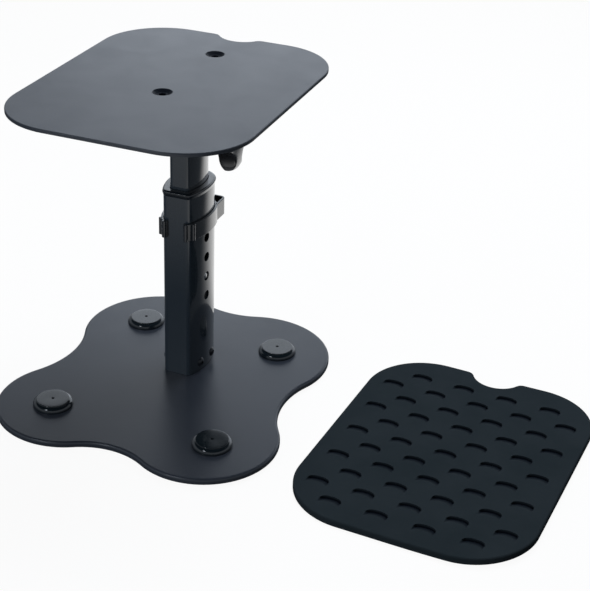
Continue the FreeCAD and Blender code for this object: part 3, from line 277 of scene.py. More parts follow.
def paint_shade_in_hollows(material, dark):
    """Paint shade into a finish: darker colour where the piece's own attribute says its surface lies deep.
    """
    tree = material.node_tree
    shader = tree.nodes["Principled BSDF"]
    colour = shader.inputs["Base Color"].links[0].from_socket
    deep = add(tree, "ShaderNodeAttribute", attribute_name=HOLLOW)
    mix = add(tree, "ShaderNodeMix", data_type="RGBA")
    mix.inputs["B"].default_value = (*dark, 1.0)
    join(tree, deep.outputs["Fac"], mix.inputs["Factor"])
    join(tree, colour, mix.inputs["A"])
    join(tree, mix.outputs["Result"], shader.inputs["Base Color"])


# Finishes

satin_coat = finish_of("satin_powder_coat", (0.024, 0.029, 0.038), (0.029, 0.034, 0.044),
                       smooth=0.30, rough=0.35, peel=650.0, depth=0.00004, specular=0.9)
gloss_paint = finish_of("gloss_black_paint", (0.0205, 0.0290, 0.0380), (0.0230, 0.0320, 0.0410),
                        smooth=0.12, rough=0.18, peel=420.0, depth=0.000002, coat=1.0, coat_rough=0.05)
cap_plastic = finish_of("polished_black_moulding", (0.0040, 0.0080, 0.0110), (0.0060, 0.0100, 0.0130),
                        smooth=0.08, rough=0.14, peel=700.0, depth=0.000002, specular=1.0,
                        coat=0.35, coat_rough=0.06)
clip_plastic = finish_of("black_moulding", (0.0050, 0.0075, 0.0110), (0.0070, 0.0100, 0.0140),
                         smooth=0.16, rough=0.24, peel=1800.0, depth=0.000005, specular=0.8,
                         coat=0.8, coat_rough=0.08)
inner_plastic = finish_of("matte_black_moulding", (0.018, 0.019, 0.021), (0.026, 0.027, 0.029),
                          smooth=0.50, rough=0.62, peel=1600.0, depth=0.00002)
knob_plastic = finish_of("grained_black_moulding", (0.017, 0.0160, 0.0165), (0.025, 0.0235, 0.0235),
                         smooth=0.20, rough=0.28, peel=1300.0, depth=0.00002, specular=1.0,
                         coat=1.0, coat_rough=0.10)
foot_rubber = finish_of("foot_rubber", (0.014, 0.014, 0.015), (0.022, 0.022, 0.023),
                        smooth=0.70, rough=0.85, peel=1200.0, depth=0.00004, specular=0.3)
pad_rubber = finish_of("pad_rubber", (0.0172, 0.0235, 0.0270), (0.0215, 0.0278, 0.0318),
                       smooth=0.74, rough=0.86, peel=1400.0, depth=0.00005, specular=0.08)
# Painted shade: the pad's rubber goes towards near black deep in its scoops
paint_shade_in_hollows(pad_rubber, (0.0028, 0.0042, 0.0080))
black_steel = finish_of("blackened_steel", (0.008, 0.010, 0.014), (0.013, 0.015, 0.019),
                        smooth=0.16, rough=0.24, peel=2400.0, depth=0.000008)
sunk_black = finish_of("matte_blackened_steel", (0.006, 0.008, 0.012), (0.010, 0.012, 0.016),
                       smooth=0.34, rough=0.44, peel=2400.0, depth=0.000008, specular=0.08)
button_steel = finish_of("bright_plated_steel", (0.86, 0.86, 0.85), (0.76, 0.76, 0.75),
                         smooth=0.24, rough=0.34, peel=2200.0, depth=0.000003, metallic=1.0)
insert_brass = finish_of("turned_brass", (0.60, 0.44, 0.17), (0.48, 0.34, 0.12),
                         smooth=0.22, rough=0.34, peel=2400.0, depth=0.000006, metallic=1.0)

FINISHES = {"satin_coat": satin_coat, "gloss_paint": gloss_paint, "cap_plastic": cap_plastic,
            "clip_plastic": clip_plastic, "inner_plastic": inner_plastic, "knob_plastic": knob_plastic,
            "foot_rubber": foot_rubber, "pad_rubber": pad_rubber, "black_steel": black_steel,
            "button_steel": button_steel, "insert_brass": insert_brass}


def dress(node, material):
    """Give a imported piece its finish."""
    node.data.materials.clear()
    node.data.materials.append(material)


for row in frame["record"]["subparts"]:
    dress(frame["nodes"][row["node"]], FINISHES[row["material_slot"]])


# Mesh helpers

def grid_faces(rows, columns, around_rows=False, around_columns=False):
    """Quads of a grid of places stored row by row; either way can close on itself."""
    i = np.arange(rows if around_rows else rows - 1)
    j = np.arange(columns if around_columns else columns - 1)
    i, j = np.meshgrid(i, j, indexing="ij")
    below = (i + 1) % rows
    beside = (j + 1) % columns
    quads = [i * columns + j, below * columns + j, below * columns + beside, i * columns + beside]
    return np.stack(quads, -1).reshape(-1, 4)


class Shell:
    """Places and faces of one piece, gathered from closed parts."""

    def __init__(self):
        """Start without places or faces."""
        self.places = []
        self.faces = []
        self.count = 0

    def add(self, places, quads, fills=()):
        """Add a part whose faces, quads and larger fills, count from its own first place."""
        places = np.asarray(places, float).reshape(-1, 3)
        self.places.append(places)
        self.faces += (np.asarray(quads) + self.count).tolist()
        self.faces += [(np.asarray(fill) + self.count).tolist() for fill in fills]
        self.count += len(places)

    def loft(self, rings):
        """Add a skin over closed rings, rows of one array (ring, place, xyz), with both ends filled."""
        count, around = rings.shape[:2]
        first = np.arange(around)
        fills = [first[::-1], first + (count - 1) * around]
        self.add(rings, grid_faces(count, around, around_columns=True), fills)

    def ring(self, rings):
        """Add a skin over closed rings whose last row joins the first."""
        count, around = rings.shape[:2]
        self.add(rings, grid_faces(count, around, True, True))

    def mesh(self, name):
        """The mesh of the gathered parts, its faces turned outwards."""
        mesh = bpy.data.meshes.new(name)
        mesh.from_pydata(np.concatenate(self.places).tolist(), [], self.faces)
        work = bmesh.new()
        work.from_mesh(mesh)
        bmesh.ops.recalc_face_normals(work, faces=work.faces)
        work.to_mesh(mesh)
        work.free()
        return mesh

    def build(self, name, material, body, nodes, holes=()):
        """Make the object, take its holes out and put it in the place of its nodes."""
        thing = bpy.data.objects.new(name, self.mesh(name))
        bpy.context.scene.collection.objects.link(thing)
        thing.data.materials.append(material)
        if holes:
            drill(thing, holes)
        thing.data.shade_smooth()
        thing.data.set_sharp_from_angle(angle=math.radians(SHARP_ANGLE))
        flats = thing.modifiers.new("flats", "WEIGHTED_NORMAL")
        flats.keep_sharp = True
        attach(thing, body)
        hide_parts(*nodes)
        return thing


def drill(thing, holes):
    """Take round holes along X out of a piece.

    Each hole is its place along Y and up, its radius, and its start and end along X, in millimetres.
    """
    pins = Shell()
    for along, up, radius, start, end in holes:
        rings = laid(turned([(radius, start), (radius, end)], HOLE_SIDES))
        pins.loft((rings + np.array([0.0, along, up])) * MM)
    cutter = bpy.data.objects.new("pins", pins.mesh("pins"))
    bpy.context.scene.collection.objects.link(cutter)
    cut = thing.modifiers.new("holes", "BOOLEAN")
    cut.operation = "DIFFERENCE"
    cut.solver = "EXACT"
    cut.object = cutter
    now = bpy.context.evaluated_depsgraph_get()
    thing.data = bpy.data.meshes.new_from_object(thing.evaluated_get(now))
    thing.modifiers.clear()
    bpy.data.objects.remove(cutter)


# Sections and profiles, in millimetres

def arc_places(centre, radius, start, end, count):
    """Places on an arc from one angle to another, the last one left out."""
    angle = start + (end - start) * np.arange(count) / count
    return np.stack([centre[0] + radius * np.cos(angle), centre[1] + radius * np.sin(angle)], -1)


def column_outline(inset, corner, mouth=0.0):
    """The column's section, moved inwards by inset, from the front at x = mouth round to x = -mouth.

    Right half: front line, corner arc, side arc centred on the X axis, rear arc centred on the Y axis.
    The left half is its mirror. Each stretch has a fixed number of places, so that sections of
    different insets can be joined place by place.
    """
    low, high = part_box("outer_tube")
    half = high.x / MM
    front = -low.y / MM - inset
    side_centre = SIDE_RADIUS - half
    reach = SIDE_RADIUS - inset
    rear_radius = half - REAR_STEP - inset
    rear_y = math.sqrt((side_centre + REAR_STEP) ** 2 - side_centre ** 2)
    corner_y = corner - front
    corner_x = math.sqrt((reach - corner) ** 2 - corner_y ** 2) - side_centre
    lean = math.atan2(corner_y, corner_x + side_centre)
    swing = math.atan2(rear_y, side_centre)
    on_front, on_corner, on_side, on_rear = SECTION_COUNTS
    line = np.linspace(mouth, corner_x, on_front, endpoint=False)
    right = np.concatenate([
        np.stack([line, np.full_like(line, -front)], -1),
        arc_places((corner_x, corner_y), corner, -math.pi / 2, lean, on_corner),
        arc_places((-side_centre, 0.0), reach, lean, swing, on_side),
        arc_places((0.0, rear_y), rear_radius, swing, math.pi / 2, on_rear)])
    rear = np.array([[0.0, rear_y + rear_radius]])
    left = right[::-1] * (-1, 1)
    return np.concatenate([right, rear, left if mouth else left[:-1]])


def level_rings(rows, mouth=0.0):
    """Level rings of the column's section in metres, from rows of (inset, corner radius, height)."""
    rings = []
    for inset, corner, up in rows:
        outline = column_outline(inset, corner, mouth)
        rings.append(np.column_stack([outline, np.full(len(outline), up)]))
    return np.array(rings) * MM


def rounded_section(low, high, bottom, top, edge, steps=5):
    """A closed rectangle of (across, up) pairs with rounded corners, anticlockwise from its lower left."""
    corners = [(low + edge, bottom + edge, math.pi), (high - edge, bottom + edge, math.pi * 1.5),
               (high - edge, top - edge, 0.0), (low + edge, top - edge, math.pi * 0.5)]
    sweep = math.pi / 2 * steps / (steps - 1)
    return np.concatenate([arc_places((across, up), edge, turn, turn + sweep, steps)
                           for across, up, turn in corners])


def turned(profile, around=96):
    """Rings about the Z axis from (radius, height) pairs."""
    profile = np.asarray(profile, float)
    angle = np.linspace(0.0, 2 * math.pi, around, endpoint=False)
    radius = profile[:, :1]
    height = np.broadcast_to(profile[:, 1:], (len(profile), around))
    return np.stack([radius * np.cos(angle), radius * np.sin(angle), height], -1)


def laid(rings):
    """Rings about the Z axis laid along X, so that their height becomes their place along X."""
    return rings[:, :, [2, 0, 1]]


def corner_round(centre, radius, start, end, steps=6):
    """Pairs on an arc of a profile, in degrees, both ends kept."""
    angle = np.radians(np.linspace(start, end, steps))
    return [(centre[0] + radius * math.cos(a), centre[1] + radius * math.sin(a)) for a in angle]


# Foot caps: a polished disc with a gate mark, on a rounded skirt

CAP_DISC = 15.1
CAP_FLAT = 4.0
CAP_EDGE = 0.6
CAP_STEP = 1.0
CAP_SKIRT_START = 80.0
CAP_SKIRT_FOOT = 0.8
CAP_SKIRT_RINGS = 11
CAP_FOOT_ROUND = 0.4
CAP_STEM = 5.05
CAP_STEM_DEPTH = 3.55
CAP_STEM_EASE = 0.3
GATE_MARK = 1.4
GATE_DEPTH = 1.6
GATE_EASE = 0.2
GATE_LIP = (0.15, 0.1)


def foot_cap(place):
    """One cap as a turned profile: gate mark, round-edged disc, elliptic skirt, bore of the stem."""
    node = "foot_cap_" + place
    low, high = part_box(node)
    middle = (low + high) / 2
    height = (high.z - low.z) / MM
    skirt = (high.x - low.x) / 2 / MM
    shoulder = height - CAP_STEP
    gate = height - GATE_DEPTH
    profile = [(GATE_MARK - GATE_EASE, gate), (GATE_MARK, gate + GATE_EASE),
               (GATE_MARK, height - GATE_LIP[1]), (GATE_MARK + GATE_LIP[0], height),
               (CAP_DISC - CAP_FLAT, height)]
    profile += corner_round((CAP_DISC - CAP_EDGE, height - CAP_EDGE), CAP_EDGE, 90.0, 0.0)
    first = math.radians(CAP_SKIRT_START)
    wide = (skirt - CAP_DISC) / (1 - math.cos(first))
    tall = (shoulder - CAP_SKIRT_FOOT) / math.sin(first)
    profile += [(skirt - wide * (1 - math.cos(a)), CAP_SKIRT_FOOT + tall * math.sin(a))
                for a in np.linspace(first, 0.0, CAP_SKIRT_RINGS)]
    profile += corner_round((skirt - CAP_FOOT_ROUND, CAP_FOOT_ROUND), CAP_FOOT_ROUND, 0.0, -90.0, steps=4)
    profile += [(CAP_STEM + CAP_STEM_EASE, 0.0), (CAP_STEM, CAP_STEM_EASE), (CAP_STEM, CAP_STEM_DEPTH)]
    shell = Shell()
    shell.loft(turned(profile) * MM + np.array([middle.x, middle.y, low.z]))
    shell.build("cap_" + place, cap_plastic, "base", [node])


# Plate screws: sunk heads with a hexagon socket

SCREW_SIDES = 96
# The dish's radius and depth; its easing and the land round it, each as in and up or down
SCREW_DISH = (5.3, 2.2)
SCREW_DISH_EASE = (0.3, 0.15)
SCREW_LAND = (0.25, 0.12)
SCREW_EDGE = 0.1
SCREW_KEY = 3.2
SCREW_KEY_DEPTH = 2.2
SCREW_KEY_FLOOR = 0.9
SCREW_KEY_EASE = 0.2
SCREW_KEY_CHAMFER = 0.45
SCREW_RIM = 0.3
SCREW_SHANK = 4.0
SCREW_TIP = 0.6


def hexagon_reach(angle, corner):
    """Distance from the middle of a hexagon to its side at an angle, from its corner radius."""
    sixth = math.pi / 3
    return corner * math.cos(sixth / 2) / np.cos((angle % sixth) - sixth / 2)


def plate_screws():
    """Each screw as rings about its axis: hexagon socket, chamfer, dish, head cone, shank."""
    low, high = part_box("plate_screws")
    head = high.x / MM
    top, end = high.z / MM, low.z / MM
    angle = np.linspace(0.0, 2 * math.pi, SCREW_SIDES, endpoint=False)
    key = hexagon_reach(angle, SCREW_KEY)
    dish, sunk = SCREW_DISH
    socket = -sunk - SCREW_KEY_DEPTH
    neck = -SCREW_RIM - head + SCREW_SHANK
    tip = end - top
    rows = [(key * SCREW_KEY_FLOOR, socket), (key, socket + SCREW_KEY_EASE),
            (key, -sunk - SCREW_KEY_CHAMFER), (key + SCREW_KEY_CHAMFER, -sunk)]
    circles = [(dish - SCREW_DISH_EASE[0], -sunk), (dish, -sunk + SCREW_DISH_EASE[1]),
               (head - SCREW_LAND[0], -SCREW_LAND[1]), (head - SCREW_EDGE, 0.0), (head, -SCREW_EDGE),
               (head, -SCREW_RIM), (SCREW_SHANK, neck), (SCREW_SHANK, tip + SCREW_TIP),
               (SCREW_SHANK - SCREW_TIP, tip)]
    rows += [(np.full_like(angle, radius), up) for radius, up in circles]
    rings = [np.stack([radius * np.cos(angle), radius * np.sin(angle), np.full_like(angle, up)], -1)
             for radius, up in rows]
    shell = Shell()
    for along in (low.y / MM + head, high.y / MM - head):
        shell.loft((np.array(rings) + np.array([0.0, along, top])) * MM)
    shell.build("sunk_screws", sunk_black, "head", ["plate_screws"])


# Snap button: a plated pin with a round end and a flange inside the tube

BUTTON_SIDES = 64
BUTTON_FLANGE = 1.6
BUTTON_EASE = 0.2
BUTTON_PIN = 4.2
BUTTON_DOME = 3.6
BUTTON_DOME_END = 87.0
BUTTON_DOME_RINGS = 14
BUTTON_PROUD = 1.7


def snap_button():
    """A turned profile laid along X: flange, pin, elliptic dome."""
    low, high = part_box("snap_button")
    middle = (low + high) / 2
    flange = (high.z - low.z) / 2 / MM
    tip = (high.x - low.x) / MM + BUTTON_PROUD
    profile = [(flange - BUTTON_EASE, 0.0), (flange, BUTTON_EASE), (flange, BUTTON_FLANGE),
               (BUTTON_PIN, BUTTON_FLANGE)]
    profile += [(BUTTON_PIN * math.cos(a), tip - BUTTON_DOME + BUTTON_DOME * math.sin(a))
                for a in np.radians(np.linspace(0.0, BUTTON_DOME_END, BUTTON_DOME_RINGS))]
    rings = laid(turned(profile, BUTTON_SIDES))
    shell = Shell()
    shell.loft(rings * MM + np.array([low.x, middle.y, middle.z]))
    shell.build("button", button_steel, "button", ["snap_button"])


# Tubes: a closed wall carried round the column's section, with round holes

OUTER_WALL = 1.5
INNER_INSET = 6.0
INNER_WALL = 2.0
INNER_CORNER = 4.2
BORE_CORNER = 1.2
TUBE_EDGE = 0.3
HOLE_SIDES = 64
HOLE_RADIUS = 4.5
HOLE_COUNT = 4
HOLE_PITCH = 20.0
HOLE_RUN = (8.0, 24.0)
PIVOT_HOLE = 4.25


def wall_rings(node, inset, corner, wall):
    """Rings of a tube's wall between two insets, with its four rims eased."""
    low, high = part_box(node)
    foot, top = low.z / MM, high.z / MM
    inside = inset + wall
    return level_rings([
        (inset + TUBE_EDGE, corner - TUBE_EDGE, foot), (inset, corner, foot + TUBE_EDGE),
        (inset, corner, top - TUBE_EDGE), (inset + TUBE_EDGE, corner - TUBE_EDGE, top),
        (inside - TUBE_EDGE, BORE_CORNER + TUBE_EDGE, top), (inside, BORE_CORNER, top - TUBE_EDGE),
        (inside, BORE_CORNER, foot + TUBE_EDGE), (inside - TUBE_EDGE, BORE_CORNER + TUBE_EDGE, foot)])


def tubes():
    """The outer tube with its height holes, the inner one with the holes of the button and the pivot."""
    button_low, button_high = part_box("snap_button")
    along, level = ((button_low + button_high) / 2).yz / MM
    pivot_low, pivot_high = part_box("pivot_bolt")
    pivot = (pivot_low.z + pivot_high.z) / 2 / MM
    outer = Shell()
    outer.ring(wall_rings("outer_tube", 0.0, TUBE_CORNER, OUTER_WALL))
    lowest = level - HOLE_PITCH
    holes = [(along, lowest + HOLE_PITCH * i, HOLE_RADIUS, *HOLE_RUN) for i in range(HOLE_COUNT)]
    outer.build("column", gloss_paint, "base", ["outer_tube"], holes)
    inner = Shell()
    inner.ring(wall_rings("inner_tube", INNER_INSET, INNER_CORNER, INNER_WALL))
    holes = [(along, level, HOLE_RADIUS, *HOLE_RUN), (0.0, pivot, PIVOT_HOLE, -HOLE_RUN[1], HOLE_RUN[1])]
    inner.build("mast_tube", gloss_paint, "mast", ["inner_tube"], holes)


# Bushing: its rim and liner as one profile carried round the column

BUSHING_LINER = 5.7
BUSHING_SEAT = 1.55
BUSHING_LIP = (0.5, 0.15)
BUSHING_EASE = 0.3
BUSHING_BORE = 3.0
BUSHING_BORE_CORNER = 2.5
BUSHING_LEAST_CORNER = 1.2
RIM_HEIGHT = 5.0
RIM_PROUD = 1.0
RIM_ROUND = 2.2
RIM_FOOT = 0.2


def bushing_corner(inset):
    """Corner radius of the bushing's section: outside it follows the column's, and the bore has its own."""
    if inset < BUSHING_BORE:
        return max(TUBE_CORNER - inset, BUSHING_LEAST_CORNER)
    return BUSHING_BORE_CORNER


def bushing():
    """Rings of the column's section, each with its own inset, corner and height, closed on themselves."""
    low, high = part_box("tube_bushing")
    foot, top = low.z / MM, high.z / MM
    rim = top - RIM_HEIGHT
    wide, mid = BUSHING_LIP
    rows = [(-RIM_FOOT, rim)]
    rows += [(RIM_ROUND - RIM_PROUD - across, up) for across, up in
             corner_round((0.0, top - RIM_ROUND), RIM_ROUND, 0.0, 90.0)]
    rows += [(BUSHING_LINER - wide, top), (BUSHING_LINER - mid, top - mid), (BUSHING_LINER, top - wide),
             (BUSHING_LINER, foot + BUSHING_EASE), (BUSHING_LINER - BUSHING_EASE, foot),
             (BUSHING_SEAT + BUSHING_EASE, foot), (BUSHING_SEAT, foot + BUSHING_EASE), (BUSHING_SEAT, rim)]
    shell = Shell()
    shell.ring(level_rings([(inset, bushing_corner(inset), up) for inset, up in rows]))
    shell.build("bushing", clip_plastic, "base", ["tube_bushing"])


# Cable clip: a band round the column, two hooks behind it and four finger ribs in front

CLIP_GAP = 0.3
CLIP_WALL = 2.2
CLIP_EDGE = 0.45
CLIP_MOUTH = 8.2
HOOK_WALL = 2.0
HOOK_REACH = 18.4
HOOK_START = 20.0
HOOK_TURN = 3.5
HOOK_TIP = 5.0
HOOK_STEPS = (8, 10)
# Across, along and radius of the right-hand ribs
FINGER_RIBS = [(10.7, -31.7, 2.1), (16.3, -26.8, 1.8)]
RIB_SIDES = 32
RIB_FLAT = 0.5
RIB_ROUND = 0.5
RIB_STEPS = 5


def hook_path(side):
    """Middle line of one hook: back along the column, round a quarter turn, in to its tip."""
    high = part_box("cable_clip")[1]
    wide = HOOK_REACH - HOOK_WALL / 2
    back = high.y / MM - HOOK_WALL / 2
    straight, bent = HOOK_STEPS
    start = np.linspace(HOOK_START, back - HOOK_TURN, straight, endpoint=False)
    turn = arc_places((wide - HOOK_TURN, back - HOOK_TURN), HOOK_TURN, 0.0, math.pi / 2, bent)
    run = np.linspace(wide - HOOK_TURN, HOOK_TIP, straight)
    path = np.concatenate([np.stack([np.full(straight, wide), start], -1), turn,
                           np.stack([run, np.full(straight, back)], -1)])
    return path * (side, 1)


def swept(path, section):
    """Rings of a section of (across, up) pairs set square to a level path."""
    along = np.gradient(path, axis=0)
    along /= np.linalg.norm(along, axis=1, keepdims=True)
    square = np.stack([along[:, 1], -along[:, 0]], -1)
    plan = path[:, None, :] + square[:, None, :] * section[None, :, :1]
    up = np.broadcast_to(section[:, 1], plan.shape[:2])
    return np.concatenate([plan, up[:, :, None]], -1)


def clip():
    """The band as a rounded strip between two sections, the hooks as swept strips, the ribs as posts."""
    low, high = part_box("cable_clip")
    bottom, top = low.z / MM, high.z / MM
    shell = Shell()
    strip = rounded_section(CLIP_GAP, CLIP_GAP + CLIP_WALL, bottom, top, CLIP_EDGE)
    rings = level_rings([(-out, TUBE_CORNER + out, up) for out, up in strip], CLIP_MOUTH)
    shell.loft(rings.transpose(1, 0, 2))
    blade = rounded_section(-HOOK_WALL / 2, HOOK_WALL / 2, bottom, top, CLIP_EDGE)
    for side in (1, -1):
        shell.loft(swept(hook_path(side), blade) * MM)
        for across, along, radius in FINGER_RIBS:
            bend = radius - RIB_ROUND
            post = [(radius * RIB_FLAT, bottom)]
            post += corner_round((bend, bottom + RIB_ROUND), RIB_ROUND, -90.0, 0.0, RIB_STEPS)
            post += corner_round((bend, top - RIB_ROUND), RIB_ROUND, 0.0, 90.0, RIB_STEPS)
            post.append((radius * RIB_FLAT, top))
            shell.loft((turned(post, RIB_SIDES) + np.array([side * across, along, 0.0])) * MM)
    shell.build("clip", clip_plastic, "clip", ["cable_clip"])


# Clamp knob: three soft lobes on a hub, turned about the pivot

KNOB_SIDES = 240
KNOB_LOBES = 3
KNOB_HOLLOW = 17.2
KNOB_HOLLOW_OUT = 7.0
KNOB_SHARPNESS = 9.0
KNOB_HALF = 10.0
# Crown of the half thickness and power of its rounded edge, on the face and the back
KNOB_FACE = (0.60, 12.0)
KNOB_FACE_START = 0.04
KNOB_FACE_RINGS = 26
KNOB_BACK = (0.96, 7.0)
KNOB_BACK_RINGS = 22
KNOB_HUB = 9.0
KNOB_HUB_WALL = 1.6
KNOB_HUB_ROUND = 0.8
KNOB_BORE_EASE = 0.4
KNOB_FIT = 0.05


def lobed_radius(angle, reach):
    """Reach of the lobes at an angle from the first one: a circle with round hollows, softly joined."""
    pitch = 2 * math.pi / KNOB_LOBES
    away = np.abs((angle % pitch) - pitch / 2)
    ring = reach + KNOB_HOLLOW_OUT
    inside = np.clip(KNOB_HOLLOW ** 2 - (ring * np.sin(away)) ** 2, 0.0, None)
    hollow = np.where(inside > 0.0, ring * np.cos(away) - np.sqrt(inside), ring)
    return (reach ** -KNOB_SHARPNESS + hollow ** -KNOB_SHARPNESS) ** (-1 / KNOB_SHARPNESS)


def knob():
    """One skin of rings about the pivot: grip, hub and the bore of its insert.

    The grip's half thickness falls as an ellipse from the axis and is rounded over at the lobes' edge.
    Its inner side closes from the lobes' outline to the round hub.
    """
    low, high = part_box("clamp_knob")
    insert_low, insert_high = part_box("knob_insert")
    pivot = (insert_low.z + insert_high.z) / 2
    reach = (pivot - low.z) / MM
    face = low.x / MM
    middle = high.x / MM - KNOB_HALF
    bore = (insert_high.z - insert_low.z) / 2 / MM + KNOB_FIT
    bore_end = insert_high.x / MM + KNOB_FIT
    angle = np.linspace(0.0, 2 * math.pi, KNOB_SIDES, endpoint=False)
    outline = lobed_radius(angle, reach)

    def thickness(radius, crown, edge):
        """Half thickness at a radius: an ellipse about the axis times the rounding at the lobes' edge."""
        share = np.clip(radius / outline, 0.0, 1.0)
        return KNOB_HALF * np.sqrt(1 - (crown * radius / reach) ** 2) * np.sqrt(1 - share ** edge)

    def turn(radius, across):
        """One ring about the pivot, with a radius and a place across for each angle."""
        across = np.broadcast_to(across, angle.shape)
        return np.stack([across, -radius * np.sin(angle), -radius * np.cos(angle)], -1)

    share = np.sin(np.linspace(KNOB_FACE_START, math.pi / 2, KNOB_FACE_RINGS))
    rings = [turn(outline * part, middle + thickness(outline * part, *KNOB_FACE)) for part in share]
    for part in np.sin(np.linspace(math.pi / 2, 0.0, KNOB_BACK_RINGS))[1:]:
        radius = KNOB_HUB + (outline - KNOB_HUB) * part
        rings.append(turn(radius, middle - thickness(radius, *KNOB_BACK)))
    hub = [(KNOB_HUB, face + KNOB_HUB_WALL)]
    hub += corner_round((KNOB_HUB - KNOB_HUB_ROUND, face + KNOB_HUB_ROUND), KNOB_HUB_ROUND, 0.0, -90.0)
    hub += [(bore + KNOB_BORE_EASE, face), (bore, face + KNOB_BORE_EASE), (bore, bore_end)]
    rings += [turn(np.full_like(angle, radius), across) for radius, across in hub]
    shell = Shell()
    shell.loft(np.array(rings) * MM + np.array([0.0, 0.0, pivot]))
    shell.build("knob", knob_plastic, "knob", ["clamp_knob"])


# Pad: a soft sheet with crescent scoops, on lines that bend with the crescents

PAD_TURN = -3.5
PAD_HALF = (108.0, 139.0)
PAD_CORNER = 60.0
PAD_ROUND = 1.8
PAD_ROUND_STEPS = 7
PAD_FOOT_ROUND = 0.5
PAD_FOOT_STEPS = 4
PAD_NOTCH_HALF = 23.0
PAD_NOTCH_DEPTH = 17.0
PAD_SHOULDER = 8.0
PAD_CURL = 2.4
PAD_CORNER_CURL = 1.6
SCOOP_PITCH = (42.0, 22.0)
SCOOP_ROWS = 11
SCOOP_FALL = 5.2
SCOOP_POWER = 2.2
SCOOP_HALF = 9.7
SCOOP_LIP = 1.2
SCOOP_WALL = 0.5
SCOOP_RUN = 8.4
SCOOP_DEPTH = 2.6
SCOOP_END = 1.6
# Outermost crescents, in pitches, of rows in line with the middle one and of those between
SCOOP_LAST = (2.0, 1.5)
SCOOP_MARGIN = 1.0
# Power of the scoops' depth that sets how far their painted shade spreads
SCOOP_SHADE = 0.8
ROW_LINES = [-1.2, -0.4, 0.0, 0.12, 0.3, 0.5, 0.9, 1.6, 2.5, 3.5, 4.6, 5.8, 7.0, 8.0, 8.9,
             10.5, 13.0, 15.5, 18.0]
ROW_BAND = 9.5
BOW_LINES = 72
FLAT_LINES = 121
END_LINES = 8

# The pad's cross lines stay in place up to LINES_KEEP along Y, and reach to LINES_REACH with room to spare.
# Where the half depth is less than LINES_NARROW they all close up.
LINES_KEEP = 100.0
LINES_NARROW = 113.0
LINES_REACH = 122.0
LINES_SPARE = 2.0


def plain_edge(across, inset):
    """Half depth of the pad without its notch, moved inwards: a line and two corner arcs."""
    radius = PAD_CORNER - inset
    past = np.clip(np.abs(across) - (PAD_HALF[0] - PAD_CORNER), 0.0, radius)
    return PAD_HALF[1] - PAD_CORNER + np.sqrt(radius ** 2 - past ** 2)


def notched_edge(across, inset):
    """Half depth of the pad at its rear, moved inwards: the notch's arc, a shoulder arc, the plain edge."""
    notch = (PAD_NOTCH_HALF ** 2 + PAD_NOTCH_DEPTH ** 2) / (2 * PAD_NOTCH_DEPTH)
    notch_y = PAD_HALF[1] - PAD_NOTCH_DEPTH + notch
    shoulder_y = PAD_HALF[1] - PAD_SHOULDER
    shoulder_x = math.sqrt((notch + PAD_SHOULDER) ** 2 - (notch_y - shoulder_y) ** 2)
    join_x = shoulder_x * (notch + inset) / (notch + PAD_SHOULDER)
    x = np.abs(across)
    arc = notch_y - np.sqrt(np.clip((notch + inset) ** 2 - x ** 2, 0.0, None))
    bend = shoulder_y + np.sqrt(np.clip((PAD_SHOULDER - inset) ** 2 - (x - shoulder_x) ** 2, 0.0, None))
    return np.where(x < join_x, arc, np.where(x < shoulder_x, bend, plain_edge(across, inset)))


def row_place(row):
    """Where the far lips of a row are, and whether its crescents stand between those of the middle row."""
    return (row - (SCOOP_ROWS - 1) / 2) * SCOOP_PITCH[1] + SCOOP_LIP, row % 2 == 0


def row_bend(across, row):
    """Distance across to the nearest crescent's middle, and how far its lip falls back there.

    The lip is half of a superellipse, so that it is flat in its middle and turns down at its ends.
    """
    pitch = SCOOP_PITCH[0]
    shift = 0.0 if row_place(row)[1] else pitch / 2
    away = np.abs((across + shift) % pitch - pitch / 2)
    share = np.clip(away / SCOOP_HALF, 0.0, 1.0)
    return away, SCOOP_FALL * (1.0 - (1.0 - share ** SCOOP_POWER) ** (1.0 / SCOOP_POWER))


def scoop_depth(across, along):
    """Depth of the scoops: a steep far lip, a floor that rises towards the front, and rounded ends."""
    depth = np.zeros_like(across)
    for row in range(SCOOP_ROWS):
        lip_y, between = row_place(row)
        away, bend = row_bend(across, row)
        behind = lip_y - bend - along
        wall = np.clip(behind / SCOOP_WALL, 0.0, 1.0)
        floor = np.clip(1.0 - (behind - SCOOP_WALL) / SCOOP_RUN, 0.0, 1.0)
        end = np.clip((SCOOP_HALF - away) / SCOOP_END, 0.0, 1.0)
        widest = SCOOP_PITCH[0] * SCOOP_LAST[between] + SCOOP_HALF + SCOOP_MARGIN
        inside = np.abs(across) < widest
        shape = wall * floor * np.sqrt(end * (2.0 - end))
        depth = np.maximum(depth, np.where(inside, SCOOP_DEPTH * shape, 0.0))
    return depth


def curl(across, along):
    """Lift of the soft sheet: it grows with the square of the distance to the right and to the front."""
    right = np.clip(across / PAD_HALF[0], 0.0, None)
    front = np.clip(-along / PAD_HALF[1], 0.0, None)
    return PAD_CURL * right ** 2 + PAD_CORNER_CURL * (right * front) ** 2


